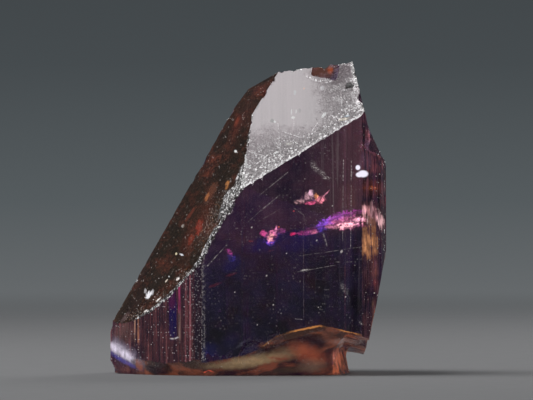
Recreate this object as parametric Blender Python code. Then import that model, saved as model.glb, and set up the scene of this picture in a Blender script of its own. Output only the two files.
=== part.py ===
"""Tanzanite crystal: a broken prism, twelve millimetres wide, that stands on its flat foot.

The crystal is one solid. Its plan, with small ledges and ridges, is extruded along the
leaning long axis. Planes cut the wedge of the top and the undercut sides, and hidden
cutters take out the arch under the front, the notch at the lower right and the chips.
All sizes below are in millimetres: x to the right, y to the back from the foot of the
front face, z up. The last step puts the origin at the middle of the foot.
"""

import math
import random

import bmesh
import bpy
from mathutils import Matrix, Vector

MM = 0.001

# Size and lean of the prism
WIDTH = 12.0
DEPTH = 7.7
TALL = 15.0
LEAN = 0.087

# Corners of the plan
FRONT_LEFT = (-1.95, 0.0)
FRONT_RIGHT = (4.92, 0.0)
SHOULDER_FRONT = (5.80, 0.75)
RIGHT_FRONT = (WIDTH / 2, 1.30)
RIGHT_BACK = (5.75, 5.20)
BACK_RIGHT = (3.40, DEPTH)
BACK_LEFT = (-1.60, DEPTH)
LEFT_BACK = (-4.90, 6.20)
LEFT_MIDDLE = (-WIDTH / 2, 4.60)
LEFT_FRONT = (-WIDTH / 2, 3.90)

# Ledges that run the full height: share of the way along a face, and how far it steps out
FRONT_LEDGES = ((0.25, 0.03), (0.635, -0.03), (0.895, 0.05), (0.94, -0.02))
SHOULDER_LEDGES = ((0.30, -0.05), (0.66, 0.04))
RIGHT_LEDGES = ((0.22, 0.05), (0.48, -0.06), (0.80, 0.03))
BACK_RIGHT_LEDGES = ((0.30, 0.05), (0.62, -0.04))
BACK_LEDGES = ((0.18, 0.06), (0.42, -0.05), (0.70, 0.05), (0.86, -0.02))
BACK_LEFT_LEDGES = ((0.35, -0.05), (0.70, 0.04))
LEDGE_RUN = 0.07

# Striated curve at the front left: the exponent of its superellipse and its ridges
CURVE_EXPONENT = 1.4
CURVE_RIDGES = 19
CURVE_SAMPLES = 400
RIDGE_HEIGHT = 0.03

# Faces of the top, each z = height + along_x * x + along_y * y
SILVER_FACE = (7.329, 0.55, 1.21)
SLANT_FACE = (7.80, 1.564, 1.0)
SLANT_BEVEL = (8.867, 1.011, 0.70)
BACK_TOP = (19.64, -0.36, -1.42)
BACK_SLANT = (18.50, 2.0, -1.2)
TOP_FACES = (SILVER_FACE, SLANT_FACE, SLANT_BEVEL, BACK_TOP, BACK_SLANT)

# Steep side of the peak and top of the shoulder: the corner between them is a hollow one
PEAK_SIDE = (33.66, -4.40, 0.0)
SHOULDER_TOP = (21.85, -2.15, 0.05)
SHOULDER_BLOCK_LOW = (3.0, -2.0, 7.0)
SHOULDER_BLOCK_HIGH = (8.0, 11.0, 18.0)

# Faces of the underside
RIGHT_UNDERCUT = (-25.19, 5.10, 0.0)
BACK_UNDERCUT = (-11.4, -0.10, 1.50)
LIFTED_FOOT = (3.15, -0.29, -0.15)

# Cutters for the underside start in front of the crystal and run right through it
CUT_START = -2.0
CUT_REACH = 12.0

# Arch under the front: height of the break at y = 0 against x, falling towards the back
ARCH = (
    (-7.0, 6.60), (-5.70, 4.42), (-5.10, 3.52), (-4.41, 2.50), (-3.55, 1.50), (-2.70, 0.98),
    (-1.91, 0.72), (-0.54, 0.92), (0.62, 1.35), (1.83, 1.78), (3.20, 2.24), (5.00, 2.85),
)
ARCH_FALL = -1.2
ARCH_BASE = -12.0

# Wall of the missing piece at the lower right, against x and z at y = 0
NOTCH = (
    (4.05, -0.30), (3.75, 0.25), (3.42, 0.80), (3.70, 1.30), (4.10, 1.70), (4.40, 2.40),
    (7.50, 2.40), (7.50, -0.30),
)
NOTCH_SHEAR = 0.12

# Chips along the edges: start, end, how many, and their middle size
CHIPPED_EDGES = (
    ((-0.32, 0.70, 8.00), (-2.13, 0.43, 4.90), 13, 0.21),
    ((-0.75, 1.05, 7.66), (-1.50, 0.95, 6.35), 6, 0.20),
    ((-2.20, 0.50, 4.80), (-5.60, 3.20, 2.22), 9, 0.13),
    ((-0.25, 0.70, 8.04), (4.75, 0.97, 11.10), 12, 0.10),
    ((-0.25, 1.05, 8.45), (0.20, 3.19, 11.30), 9, 0.12),
    ((0.25, 3.24, 11.38), (1.27, 4.16, 13.06), 4, 0.09),
    ((1.40, 4.18, 13.15), (4.35, 3.17, 13.55), 9, 0.12),
    ((4.60, 3.00, 13.45), (5.00, 1.30, 11.66), 5, 0.10),
    ((5.24, 1.24, 10.62), (5.97, 1.95, 9.12), 9, 0.14),
    ((-1.95, 0.40, 4.70), (-1.95, 0.06, 0.75), 7, 0.05),
    ((-1.80, 0.06, 0.72), (5.20, 0.15, 1.70), 9, 0.08),
    ((-0.70, 4.70, 11.40), (-5.30, 3.70, 3.20), 10, 0.13),
    ((3.30, 8.20, 6.20), (-1.60, 8.30, 5.60), 7, 0.12),
)
CHIP_SEED = 11

# Scoops, each a shallow round break: deepest way in from a point, outward way, radius, depth
SCOOPS = (
    ((0.20, 0.10, 1.22), (0.10, -0.80, -0.60), 0.62, 0.24),
    ((1.15, 0.12, 1.58), (0.25, -0.85, -0.50), 0.46, 0.15),
    ((1.75, 1.00, 0.56), (0.05, -0.77, -0.64), 2.60, 0.15),
    ((-3.60, 1.25, 0.08), (-0.30, -0.70, -0.65), 1.30, 0.16),
    ((-5.85, 4.30, 0.25), (-0.80, -0.20, -0.57), 0.90, 0.22),
    ((5.72, 5.70, 5.50), (0.90, 0.43, 0.00), 2.20, 0.20),
    ((5.32, 2.20, 1.95), (0.80, -0.10, -0.60), 2.60, 0.17),
    ((4.78, 3.95, 12.15), (0.80, 0.50, 0.30), 1.60, 0.12),
    ((-3.30, 7.18, 2.90), (-0.60, 0.75, 0.25), 2.40, 0.20),
    ((3.35, 8.00, 3.60), (0.35, 0.93, 0.00), 2.60, 0.18),
)
SCOOP_SEGMENTS = 26
SCOOP_RINGS = 16

# Growth steps on the back of the top: a corner of each plate, and how deep it is sunk
STEP_OUTWARD = (0.203, 0.801, 0.564)
STEPS = (
    ((0.40, 7.20, 9.27), (-0.55, 0.0, -0.84), 0.10),
    ((3.60, 6.70, 8.83), (0.80, 0.0, -0.60), 0.12),
)
STEP_PLATE = 5.0
STEP_PLATE_THICK = 1.5

# Step in the ridge: a piece is missing in front of a short steep wall
RIDGE_STEP_MIDDLE = (3.04, 3.00, 13.27)
RIDGE_STEP_SIZE = (1.25, 0.90, 0.98)
RIDGE_TURN = -0.353
RIDGE_STEP_TILT = 0.10

COLOUR = (0.075, 0.03, 0.10, 1.0)
ROUGHNESS = 0.06
REFRACTION = 1.695


def ledged_run(start, end, ledges):
    """Points from start towards end, stepping out by each ledge, without the end."""
    start = Vector(start)
    along = Vector(end) - start
    outward = Vector((along.y, -along.x)).normalized()
    half_run = 0.5 * LEDGE_RUN / along.length
    points = [start]
    step = 0.0
    for share, height in ledges:
        points.append(start + along * (share - half_run) + outward * step)
        step = height
        points.append(start + along * (share + half_run) + outward * step)
    return points


def striated_curve():
    """Superellipse from the left side round to the front, with ridges of even pitch."""
    reach_x = FRONT_LEFT[0] - LEFT_FRONT[0]
    reach_y = LEFT_FRONT[1] - FRONT_LEFT[1]
    power = 2.0 / CURVE_EXPONENT
    fine = []
    for index in range(CURVE_SAMPLES + 1):
        turn = 0.5 * math.pi * index / CURVE_SAMPLES
        x = FRONT_LEFT[0] - reach_x * max(math.cos(turn), 0.0) ** power
        y = LEFT_FRONT[1] - reach_y * math.sin(turn) ** power
        fine.append(Vector((x, y)))
    lengths = [0.0]
    for before, after in zip(fine, fine[1:]):
        lengths.append(lengths[-1] + (after - before).length)
    points = []
    place = 0
    for index in range(2 * CURVE_RIDGES):
        target = lengths[-1] * index / (2 * CURVE_RIDGES)
        while lengths[place + 1] < target:
            place += 1
        along = (fine[place + 1] - fine[place]).normalized()
        outward = Vector((along.y, -along.x))
        side = RIDGE_HEIGHT if index % 2 else -RIDGE_HEIGHT
        swell = 0.6 + 0.4 * math.sin(2.7 * index)
        points.append(fine[place] + outward * side * swell)
    return points


def plan():
    """The prism's outline at its foot, counter-clockwise seen from above."""
    points = ledged_run(FRONT_LEFT, FRONT_RIGHT, FRONT_LEDGES)
    points += ledged_run(FRONT_RIGHT, SHOULDER_FRONT, SHOULDER_LEDGES)
    points += ledged_run(SHOULDER_FRONT, RIGHT_FRONT, ())
    points += ledged_run(RIGHT_FRONT, RIGHT_BACK, RIGHT_LEDGES)
    points += ledged_run(RIGHT_BACK, BACK_RIGHT, BACK_RIGHT_LEDGES)
    points += ledged_run(BACK_RIGHT, BACK_LEFT, BACK_LEDGES)
    points += ledged_run(BACK_LEFT, LEFT_BACK, BACK_LEFT_LEDGES)
    points += [Vector(LEFT_BACK), Vector(LEFT_MIDDLE)]
    points += striated_curve()
    return points


def extruded(corners, travel):
    """A closed prism: the corners joined in a face and moved by travel."""
    bm = bmesh.new()
    face = bm.faces.new([bm.verts.new(corner) for corner in corners])
    grown = bmesh.ops.extrude_face_region(bm, geom=[face])
    moved = [item for item in grown["geom"] if isinstance(item, bmesh.types.BMVert)]
    bmesh.ops.translate(bm, vec=travel, verts=moved)
    bmesh.ops.recalc_face_normals(bm, faces=bm.faces)
    return bm


def slice_off(bm, face, upper):
    """Remove what lies above the sloping face, or below it, and close the cut."""
    height, along_x, along_y = face
    normal = Vector((-along_x, -along_y, 1.0))
    if not upper:
        normal.negate()
    whole = bm.verts[:] + bm.edges[:] + bm.faces[:]
    cut = bmesh.ops.bisect_plane(
        bm, geom=whole, dist=1e-5, plane_co=(0.0, 0.0, height), plane_no=normal, clear_outer=True
    )
    rim = [item for item in cut["geom_cut"] if isinstance(item, bmesh.types.BMEdge)]
    bmesh.ops.holes_fill(bm, edges=rim)
    bmesh.ops.recalc_face_normals(bm, faces=bm.faces)


def new_object(name, bm, holder):
    """Turn a shape in millimetres into an object in metres under the holder."""
    bmesh.ops.scale(bm, vec=(MM, MM, MM), verts=bm.verts)
    mesh = bpy.data.meshes.new(name)
    bm.to_mesh(mesh)
    bm.free()
    item = bpy.data.objects.new(name, mesh)
    bpy.context.collection.objects.link(item)
    item.parent = holder
    return item


def crystal_body():
    """The leaning prism with its top faces and its undercut sides."""
    corners = [Vector((point.x, point.y, 0.0)) for point in plan()]
    bm = extruded(corners, Vector((0.0, LEAN * TALL, TALL)))
    for face in TOP_FACES:
        slice_off(bm, face, upper=True)
    for face in (RIGHT_UNDERCUT, BACK_UNDERCUT):
        slice_off(bm, face, upper=False)
    return bm


def shoulder_cutter():
    """What stands above both the side of the peak and the top of the shoulder."""
    left, near, low = SHOULDER_BLOCK_LOW
    right, far, high = SHOULDER_BLOCK_HIGH
    corners = [(left, near), (right, near), (right, far), (left, far)]
    bm = extruded([Vector((x, y, low)) for x, y in corners], Vector((0.0, 0.0, high - low)))
    for face in (PEAK_SIDE, SHOULDER_TOP):
        slice_off(bm, face, upper=False)
    return bm


def arch_cutter():
    """The break under the front: it follows the arch and falls towards the back."""
    corners = [Vector((x, CUT_START, z + ARCH_FALL * CUT_START)) for x, z in ARCH]
    corners += [Vector((x, CUT_START, ARCH_BASE)) for x in (ARCH[-1][0], ARCH[0][0])]
    bm = extruded(corners, Vector((0.0, CUT_REACH, CUT_REACH * ARCH_FALL)))
    slice_off(bm, LIFTED_FOOT, upper=True)
    return bm


def notch_cutter():
    """The missing piece at the lower right, right through from front to back."""
    corners = [Vector((x + NOTCH_SHEAR * CUT_START, CUT_START, z)) for x, z in NOTCH]
    bm = extruded(corners, Vector((NOTCH_SHEAR * CUT_REACH, CUT_REACH, 0.0)))
    slice_off(bm, LIFTED_FOOT, upper=True)
    return bm


def ridge_step_cutter():
    """A block whose flat back leaves the steep wall of the step in the ridge."""
    bm = bmesh.new()
    bmesh.ops.create_cube(bm, size=1.0)
    bmesh.ops.scale(bm, vec=RIDGE_STEP_SIZE, verts=bm.verts)
    turn = Matrix.Rotation(RIDGE_TURN, 3, "Z") @ Matrix.Rotation(-RIDGE_STEP_TILT, 3, "Y")
    bmesh.ops.rotate(bm, cent=(0.0, 0.0, 0.0), matrix=turn, verts=bm.verts)
    bmesh.ops.translate(bm, vec=RIDGE_STEP_MIDDLE, verts=bm.verts)
    return bm


def step_cutter(corner, inward, depth):
    """A thick plate over one part of the back of the top, sunk in it by the depth."""
    outward = Vector(STEP_OUTWARD).normalized()
    edge = outward.cross(Vector(inward)).normalized()
    away = edge.cross(outward).normalized()
    base = Vector(corner) - outward * depth
    half = edge * (0.5 * STEP_PLATE)
    reach = away * STEP_PLATE
    corners = [base - half, base + half, base + half + reach, base - half + reach]
    return extruded(corners, outward * STEP_PLATE_THICK)


def scoop_cutter(point, outward, radius, depth):
    """A faceted ball that dips into the crystal by the depth at the point."""
    outward = Vector(outward).normalized()
    bm = bmesh.new()
    bmesh.ops.create_uvsphere(
        bm, u_segments=SCOOP_SEGMENTS, v_segments=SCOOP_RINGS, radius=radius
    )
    aim = outward.to_track_quat("Z", "Y").to_matrix()
    bmesh.ops.rotate(bm, cent=(0.0, 0.0, 0.0), matrix=aim, verts=bm.verts)
    bmesh.ops.translate(bm, vec=Vector(point) + outward * (radius - depth), verts=bm.verts)
    return bm


def chip_cutter(centre, size, along, dice):
    """An uneven lump, drawn out along the edge that it chips."""
    bm = bmesh.new()
    bmesh.ops.create_icosphere(bm, subdivisions=1, radius=1.0)
    for vert in bm.verts:
        vert.co *= dice.uniform(0.75, 1.25)
    stretch = Matrix.Diagonal((dice.uniform(1.1, 2.4), dice.uniform(0.7, 1.1), dice.uniform(0.7, 1.1)))
    frame = along.to_track_quat("X", "Z").to_matrix()
    bmesh.ops.transform(bm, matrix=(frame @ stretch).to_4x4(), verts=bm.verts)
    bmesh.ops.scale(bm, vec=(size, size, size), verts=bm.verts)
    bmesh.ops.translate(bm, vec=centre, verts=bm.verts)
    return bm


def edge_chips():
    """Chip shapes, unevenly spaced along every chipped edge."""
    dice = random.Random(CHIP_SEED)
    shapes = []
    for start, end, count, size in CHIPPED_EDGES:
        start = Vector(start)
        along = Vector(end) - start
        for index in range(count):
            share = (index + dice.uniform(0.15, 0.85)) / count
            wobble = Vector([dice.uniform(-0.3, 0.3) * size for _ in range(3)])
            own_size = size * dice.uniform(0.55, 1.5)
            centre = start + along * share + wobble
            shapes.append(chip_cutter(centre, own_size, along, dice))
    return shapes


def add_cut(body, name, shapes, holder):
    """Cut every shape out of the body, in one step, with hidden objects in a collection."""
    group = bpy.data.collections.new(name)
    for index, shape in enumerate(shapes):
        cutter = new_object(f"{name}_{index:02d}", shape, holder)
        cutter.hide_render = True
        cutter.display_type = "WIRE"
        group.objects.link(cutter)
    cut = body.modifiers.new(name, "BOOLEAN")
    cut.operation = "DIFFERENCE"
    cut.solver = "EXACT"
    cut.operand_type = "COLLECTION"
    cut.collection = group


def gem_material():
    """Clear violet-brown mineral."""
    material = bpy.data.materials.new("tanzanite")
    material.use_nodes = True
    shader = material.node_tree.nodes["Principled BSDF"]
    shader.inputs["Base Color"].default_value = COLOUR
    shader.inputs["Roughness"].default_value = ROUGHNESS
    shader.inputs["Metallic"].default_value = 0.0
    shader.inputs["IOR"].default_value = REFRACTION
    material.diffuse_color = COLOUR
    return material


def centre_on_foot(body, holder):
    """Move the holder so that the middle of the crystal's box stands over the origin."""
    bpy.context.view_layer.update()
    finished = body.evaluated_get(bpy.context.evaluated_depsgraph_get())
    corners = [finished.matrix_world @ Vector(corner) for corner in finished.bound_box]
    low = [min(corner[axis] for corner in corners) for axis in range(3)]
    high = [max(corner[axis] for corner in corners) for axis in range(3)]
    holder.location = (-0.5 * (low[0] + high[0]), -0.5 * (low[1] + high[1]), -low[2])


def build():
    for item in list(bpy.data.objects):
        bpy.data.objects.remove(item, do_unlink=True)
    holder = bpy.data.objects.new("foot_middle", None)
    bpy.context.collection.objects.link(holder)
    body = new_object("tanzanite_crystal", crystal_body(), holder)
    body.data.materials.append(gem_material())
    breaks = [shoulder_cutter(), arch_cutter(), notch_cutter(), ridge_step_cutter()]
    add_cut(body, "breaks", breaks, holder)
    add_cut(body, "steps", [step_cutter(*step) for step in STEPS], holder)
    add_cut(body, "scoops", [scoop_cutter(*scoop) for scoop in SCOOPS], holder)
    add_cut(body, "chips", edge_chips(), holder)
    centre_on_foot(body, holder)


build()
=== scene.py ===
"""Tanzanite crystal: its surface and inner feathers, its clear mineral, light and camera.

One closed grid runs round the crystal and from the top over the walls to the foot. It is
worked out in the crystal's own millimetres: x to the right, y to the back from the foot of
the front face, z up. The prism leans back, so a point at height z stands LEAN * z further
back than its place in the plan.
"""

import math

import bpy
import numpy as np
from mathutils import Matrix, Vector


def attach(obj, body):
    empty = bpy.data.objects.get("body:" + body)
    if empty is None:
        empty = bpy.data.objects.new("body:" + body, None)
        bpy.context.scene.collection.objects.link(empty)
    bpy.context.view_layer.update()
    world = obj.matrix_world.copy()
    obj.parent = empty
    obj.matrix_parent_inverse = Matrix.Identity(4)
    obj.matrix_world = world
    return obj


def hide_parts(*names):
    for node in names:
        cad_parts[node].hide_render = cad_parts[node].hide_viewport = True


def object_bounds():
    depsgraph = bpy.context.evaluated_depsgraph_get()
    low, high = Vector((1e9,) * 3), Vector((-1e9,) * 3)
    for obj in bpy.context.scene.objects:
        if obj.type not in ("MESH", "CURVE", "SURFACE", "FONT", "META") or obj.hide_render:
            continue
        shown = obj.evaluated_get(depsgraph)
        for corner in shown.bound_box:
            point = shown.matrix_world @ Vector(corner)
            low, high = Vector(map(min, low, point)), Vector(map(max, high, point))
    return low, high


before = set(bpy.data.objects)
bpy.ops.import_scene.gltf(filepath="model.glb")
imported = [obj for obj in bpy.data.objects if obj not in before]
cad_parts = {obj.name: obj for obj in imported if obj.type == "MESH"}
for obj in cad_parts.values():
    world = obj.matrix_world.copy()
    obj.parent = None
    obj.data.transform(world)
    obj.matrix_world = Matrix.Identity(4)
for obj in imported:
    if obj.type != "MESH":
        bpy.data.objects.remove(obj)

CAD_BOX = [list(corner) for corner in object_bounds()]

MM = 0.001

# Plan of the prism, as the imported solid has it
WIDTH = 12.0
DEPTH = 7.7
LEAN = 0.087
FOOT_LINE = -4.236
FRONT_LEFT = (-1.95, 0.0)
FRONT_RIGHT = (4.92, 0.0)
SHOULDER_FRONT = (5.80, 0.75)
RIGHT_FRONT = (WIDTH / 2, 1.30)
RIGHT_BACK = (5.75, 5.20)
BACK_RIGHT = (3.40, DEPTH)
BACK_LEFT = (-1.60, DEPTH)
LEFT_BACK = (-4.90, 6.20)
LEFT_MIDDLE = (-WIDTH / 2, 4.60)
LEFT_FRONT = (-WIDTH / 2, 3.90)
CURVE_EXPONENT = 1.4
CURVE_RIDGES = 19
CURVE_RIDGE_HEIGHT = 0.024
CURVE_SAMPLES = 2001
LEDGE_RUN = 0.07

# Faces round the prism: name, start, end, columns, ledges as share and step, fine lines
WALLS = (
    ("front", FRONT_LEFT, FRONT_RIGHT, 176,
     ((0.25, 0.03), (0.635, -0.03), (0.895, 0.05), (0.94, -0.02)), 0.0035),
    ("shoulder", FRONT_RIGHT, SHOULDER_FRONT, 30, ((0.30, -0.05), (0.66, 0.04)), 0.010),
    ("shoulder", SHOULDER_FRONT, RIGHT_FRONT, 12, (), 0.008),
    ("right", RIGHT_FRONT, RIGHT_BACK, 46, ((0.22, 0.05), (0.48, -0.06), (0.80, 0.03)), 0.008),
    ("right", RIGHT_BACK, BACK_RIGHT, 38, ((0.30, 0.05), (0.62, -0.04)), 0.008),
    ("back", BACK_RIGHT, BACK_LEFT, 58,
     ((0.18, 0.06), (0.42, -0.05), (0.70, 0.05), (0.86, -0.02)), 0.008),
    ("back", BACK_LEFT, LEFT_BACK, 38, ((0.35, -0.05), (0.70, 0.04)), 0.008),
    ("left", LEFT_BACK, LEFT_MIDDLE, 20, (), 0.008),
    ("left", LEFT_MIDDLE, LEFT_FRONT, 8, (), 0.008),
    ("curve", LEFT_FRONT, FRONT_LEFT, 152, (), 0.007),
)
WALL_NAMES = ("front", "shoulder", "right", "back", "left", "curve")

# Faces of the top, each z = height + along_x * x + along_y * y, and the finish of each.
# The last two are the side of the peak and the top of the shoulder, with a hollow corner
# between them.
TOPS = (
    ("silver", (7.329, 0.55, 1.21)),
    ("slant", (7.80, 1.564, 1.0)),
    ("slant", (8.867, 1.011, 0.70)),
    ("rear", (19.64, -0.36, -1.42)),
    ("rear", (18.50, 2.0, -1.2)),
    ("peak", (33.66, -4.40, 0.0)),
    ("peak", (21.85, -2.15, 0.05)),
)
TOP_NAMES = ("silver", "slant", "rear", "peak")

# The three of them that meet in the highest corner
PEAK_FACES = (0, 3, 5)

FACE_NAMES = WALL_NAMES + TOP_NAMES + ("broken", "crushed")

# Faces of the underside, and their order; the three last ones are breaks
FLAT, _, _, ARCH, LIFTED, NOTCH = range(6)
RIGHT_UNDERCUT = (-25.19, 5.10, 0.0)
BACK_UNDERCUT = (-11.4, -0.10, 1.50)
LIFTED_FOOT = (3.15, -0.29, -0.15)
ARCH_X = (-7.0, -5.70, -5.10, -4.41, -3.55, -2.70, -1.91, -0.54, 0.62, 1.83, 3.20, 7.00)
ARCH_Z = (6.60, 4.42, 3.52, 2.50, 1.50, 0.98, 0.72, 0.92, 1.35, 1.78, 2.24, 3.40)
ARCH_FALL = -1.2
NOTCH_X = (3.36, 3.42, 3.70, 4.10, 4.40, 4.60)
NOTCH_Z = (-0.60, 0.80, 1.30, 1.70, 2.40, 6.00)
NOTCH_SHEAR = 0.12
RIPPLE_MIDDLE = (2.2, -2.6)

# The toe below the notch: its reach over the height, and where it starts, ends and fades out
TOE_Z = (0.0, 0.25, 0.80)
TOE_REACH = (0.48, 0.34, 0.0)
TOE_STARTS = (2.4, 3.38)
TOE_ENDS = (3.45, 3.7)
TOE_BACK = (5.2, 6.4)

# Rows of the grid, and how much closer they are towards the rims of the caps
FAN_MIDDLE = (0.90, 3.20)
TOP_ROWS = 66
WALL_ROWS = 50
FOOT_ROWS = 26
TOP_CROWDING = 1.30
FOOT_CROWDING = 1.20
RUN_GAP = 17.0

# What the columns of the grid hold, one row each
PLAN_X, PLAN_Y, OUT_X, OUT_Y, STEP, RUN, FACE, LINES, WALL = range(9)

# A grid edge that crosses a crease moves one end by no more than this share of its length;
# the other number stands for an edge that doesn't cross one
HALF_EDGE = 0.501
NO_CROSSING = 9.0


def hashed(i, j, seed):
    """A fixed number from 0 to 1 for each whole pair: the fraction of a large sine."""
    return np.modf(np.abs(np.sin(i * 127.1 + j * 311.7 + seed * 74.7) * 43758.5453))[0]


def smooth(low, high, value):
    """0 below low, 1 above high, and a smooth step between."""
    share = np.clip((value - low) / (high - low), 0.0, 1.0)
    return share * share * (3.0 - 2.0 * share)


def cloud(p, q, seed=0):
    """Value noise from -1 to 1: hashed corners of a unit grid, blended smoothly."""
    i, j = np.floor(p), np.floor(q)
    f, g = smooth(0.0, 1.0, p - i), smooth(0.0, 1.0, q - j)
    near = hashed(i, j, seed) * (1.0 - f) + hashed(i + 1, j, seed) * f
    far = hashed(i, j + 1, seed) * (1.0 - f) + hashed(i + 1, j + 1, seed) * f
    return 2.0 * (near * (1.0 - g) + far * g) - 1.0


def flakes(p, q, seed=0):
    """Flat tilted facets from -1 to 1: each point belongs to the nearest hashed site."""
    nearest = np.full(np.shape(p), np.inf)
    height = np.zeros(np.shape(p))
    for step_i in (-1, 0, 1):
        for step_j in (-1, 0, 1):
            i, j = np.floor(p) + step_i, np.floor(q) + step_j
            off_p = p - i - hashed(i, j, seed)
            off_q = q - j - hashed(i, j, seed + 1)
            distance = np.hypot(off_p, off_q)
            closer = distance < nearest
            turn = 2.0 * math.pi * hashed(i, j, seed + 2)
            lift = hashed(i, j, seed + 3) - 0.5
            tilt = off_p * np.cos(turn) + off_q * np.sin(turn) + 0.6 * lift
            height = np.where(closer, tilt, height)
            nearest = np.where(closer, distance, nearest)
    return height


def curve_points(count):
    """Superellipse at the front left, count points of even pitch, without its last point."""
    reach_x = FRONT_LEFT[0] - LEFT_FRONT[0]
    reach_y = LEFT_FRONT[1] - FRONT_LEFT[1]
    turn = np.linspace(0.0, 0.5 * math.pi, CURVE_SAMPLES)
    power = 2.0 / CURVE_EXPONENT
    x = FRONT_LEFT[0] - reach_x * np.clip(np.cos(turn), 0.0, 1.0) ** power
    y = LEFT_FRONT[1] - reach_y * np.sin(turn) ** power
    length = np.concatenate(([0.0], np.cumsum(np.hypot(np.diff(x), np.diff(y)))))
    even = np.linspace(0.0, length[-1], count, endpoint=False)
    return np.interp(even, length, x), np.interp(even, length, y), even


def ledge_steps(share, ledges, length):
    """How far a face stands out along its run: flat treads joined by short risers."""
    knots, steps = [0.0], [0.0]
    for place, step in ledges:
        half = 0.5 * LEDGE_RUN / length
        knots += [place - half, place + half]
        steps += [steps[-1], step]
    return np.interp(share, knots + [1.0], steps + [0.0])


def wall_columns():
    """Columns of the grid round the plan, with the rows that the names above give.

    The ridges of the curve are -height * cos(2 pi * ridges * run / length), and a slower sine
    of the run makes them 0.2 to 1 times as high.
    """
    parts = []
    for index, (name, start, end, count, ledges, lines) in enumerate(WALLS):
        if name == "curve":
            x, y, run = curve_points(count)
            ridge = np.cos(2.0 * math.pi * CURVE_RIDGES * run / run[-1] * (1.0 - 1.0 / count))
            step = -CURVE_RIDGE_HEIGHT * ridge * (0.6 + 0.4 * np.sin(3.1 * run + 1.0))
        else:
            share = np.arange(count) / count
            length = math.hypot(end[0] - start[0], end[1] - start[1])
            x = start[0] + (end[0] - start[0]) * share
            y = start[1] + (end[1] - start[1]) * share
            run = share * length
            step = ledge_steps(share, ledges, length)
        along_x = np.gradient(np.append(x, end[0]))[:-1]
        along_y = np.gradient(np.append(y, end[1]))[:-1]
        size = np.hypot(along_x, along_y)
        parts.append(np.stack([
            x, y, along_y / size, -along_x / size, step, run,
            np.full(count, float(WALL_NAMES.index(name))),
            np.full(count, lines), np.full(count, float(index)),
        ]))
    return np.concatenate(parts, axis=1)


def raised(face, x, y):
    """Height of a sloping face over the plan, with the lean taken into account."""
    height, along_x, along_y = face
    return (height + along_x * x + along_y * y) / (1.0 - LEAN * along_y)


def top_surfaces(x, y):
    """Heights of all top faces over the plan."""
    return np.stack([raised(face, x, y) for _, face in TOPS])


def foot_surfaces(x, y):
    """Heights of the foot, the undercuts, the arch, the lifted end and the notch wall."""
    arch = (np.interp(x, ARCH_X, ARCH_Z) + ARCH_FALL * y) / (1.0 - LEAN * ARCH_FALL)
    notch = np.interp(x - NOTCH_SHEAR * y, NOTCH_X, NOTCH_Z)
    lifted = raised(LIFTED_FOOT, x, y)
    right = raised(RIGHT_UNDERCUT, x, y)
    return np.stack([np.zeros_like(x), right, raised(BACK_UNDERCUT, x, y), arch, lifted, notch])


def top_pick(heights):
    """The lowest of the top faces, where the higher one of the last two counts."""
    *rest, steep, shallow = heights
    steeper = steep > shallow
    steep, shallow = np.where(steeper, steep, np.inf), np.where(steeper, np.inf, shallow)
    return np.argmin(np.stack([*rest, steep, shallow]), axis=0)


def foot_pick(heights):
    """The highest underside, where the lifted end caps both the arch and the notch wall."""
    flat, right, rear, arch, lifted, notch = heights
    broken = np.maximum(arch, notch)
    break_pick = np.where(broken > lifted, LIFTED, np.where(arch > notch, ARCH, NOTCH))
    break_height = np.minimum(broken, lifted)
    rest = np.stack([flat, right, rear])
    return np.where(break_height > rest.max(axis=0), break_pick, np.argmax(rest, axis=0))


def chosen(heights, pick):
    """The height of the picked face at each place."""
    return np.take_along_axis(heights, pick[None], axis=0)[0]


def slid_to_creases(x, y, surfaces, choose):
    """Move the nearer end of every grid edge that crosses a crease onto the crease.

    Where two neighbours lie on faces i and j, the gap between those faces changes sign
    between them, and the crossing is where it is zero by linear interpolation.
    """
    heights = surfaces(x, y)
    pick = choose(heights)
    best = np.full(x.shape, HALF_EDGE)
    move_x, move_y = np.zeros_like(x), np.zeros_like(y)
    for axis in (0, 1):
        for way in (-1, 1):
            other = [np.roll(item, way, axis=axis) for item in (x, y, pick)]
            other_heights = np.roll(heights, way, axis=axis + 1)
            here = chosen(heights, pick) - chosen(heights, other[2])
            there = chosen(other_heights, pick) - chosen(other_heights, other[2])
            crosses = (pick != other[2]) & (here * there <= 0.0)
            share = np.where(crosses, here / np.where(crosses, here - there, 1.0), NO_CROSSING)
            if axis == 0:
                share[0 if way == 1 else -1] = NO_CROSSING
            fits = share < best
            best = np.where(fits, share, best)
            move_x = np.where(fits, share * (other[0] - x), move_x)
            move_y = np.where(fits, share * (other[1] - y), move_y)
    move_x[-1], move_y[-1] = 0.0, 0.0
    return x + move_x, y + move_y


def peak_place():
    """Plan place of the highest corner, where the three faces of the peak are equally high."""
    flat = np.array([
        [raised(TOPS[index][1], 0.0, 0.0) for index in PEAK_FACES],
        [raised(TOPS[index][1], 1.0, 0.0) for index in PEAK_FACES],
        [raised(TOPS[index][1], 0.0, 1.0) for index in PEAK_FACES],
    ])
    base, slope_x, slope_y = flat[0], flat[1] - flat[0], flat[2] - flat[0]
    rows = np.array([[slope_x[0] - slope_x[n], slope_y[0] - slope_y[n]] for n in (1, 2)])
    return np.linalg.solve(rows, [base[1] - base[0], base[2] - base[0]])


def fan_rows(columns, count, crowding):
    """Plan places from the middle of a cap to its rim, closer together towards the rim."""
    share = 1.0 - (1.0 - np.arange(1, count + 1) / count) ** crowding
    x = FAN_MIDDLE[0] + share[:, None] * (columns[PLAN_X] - FAN_MIDDLE[0])
    y = FAN_MIDDLE[1] + share[:, None] * (columns[PLAN_Y] - FAN_MIDDLE[1])
    return x, y


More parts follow.
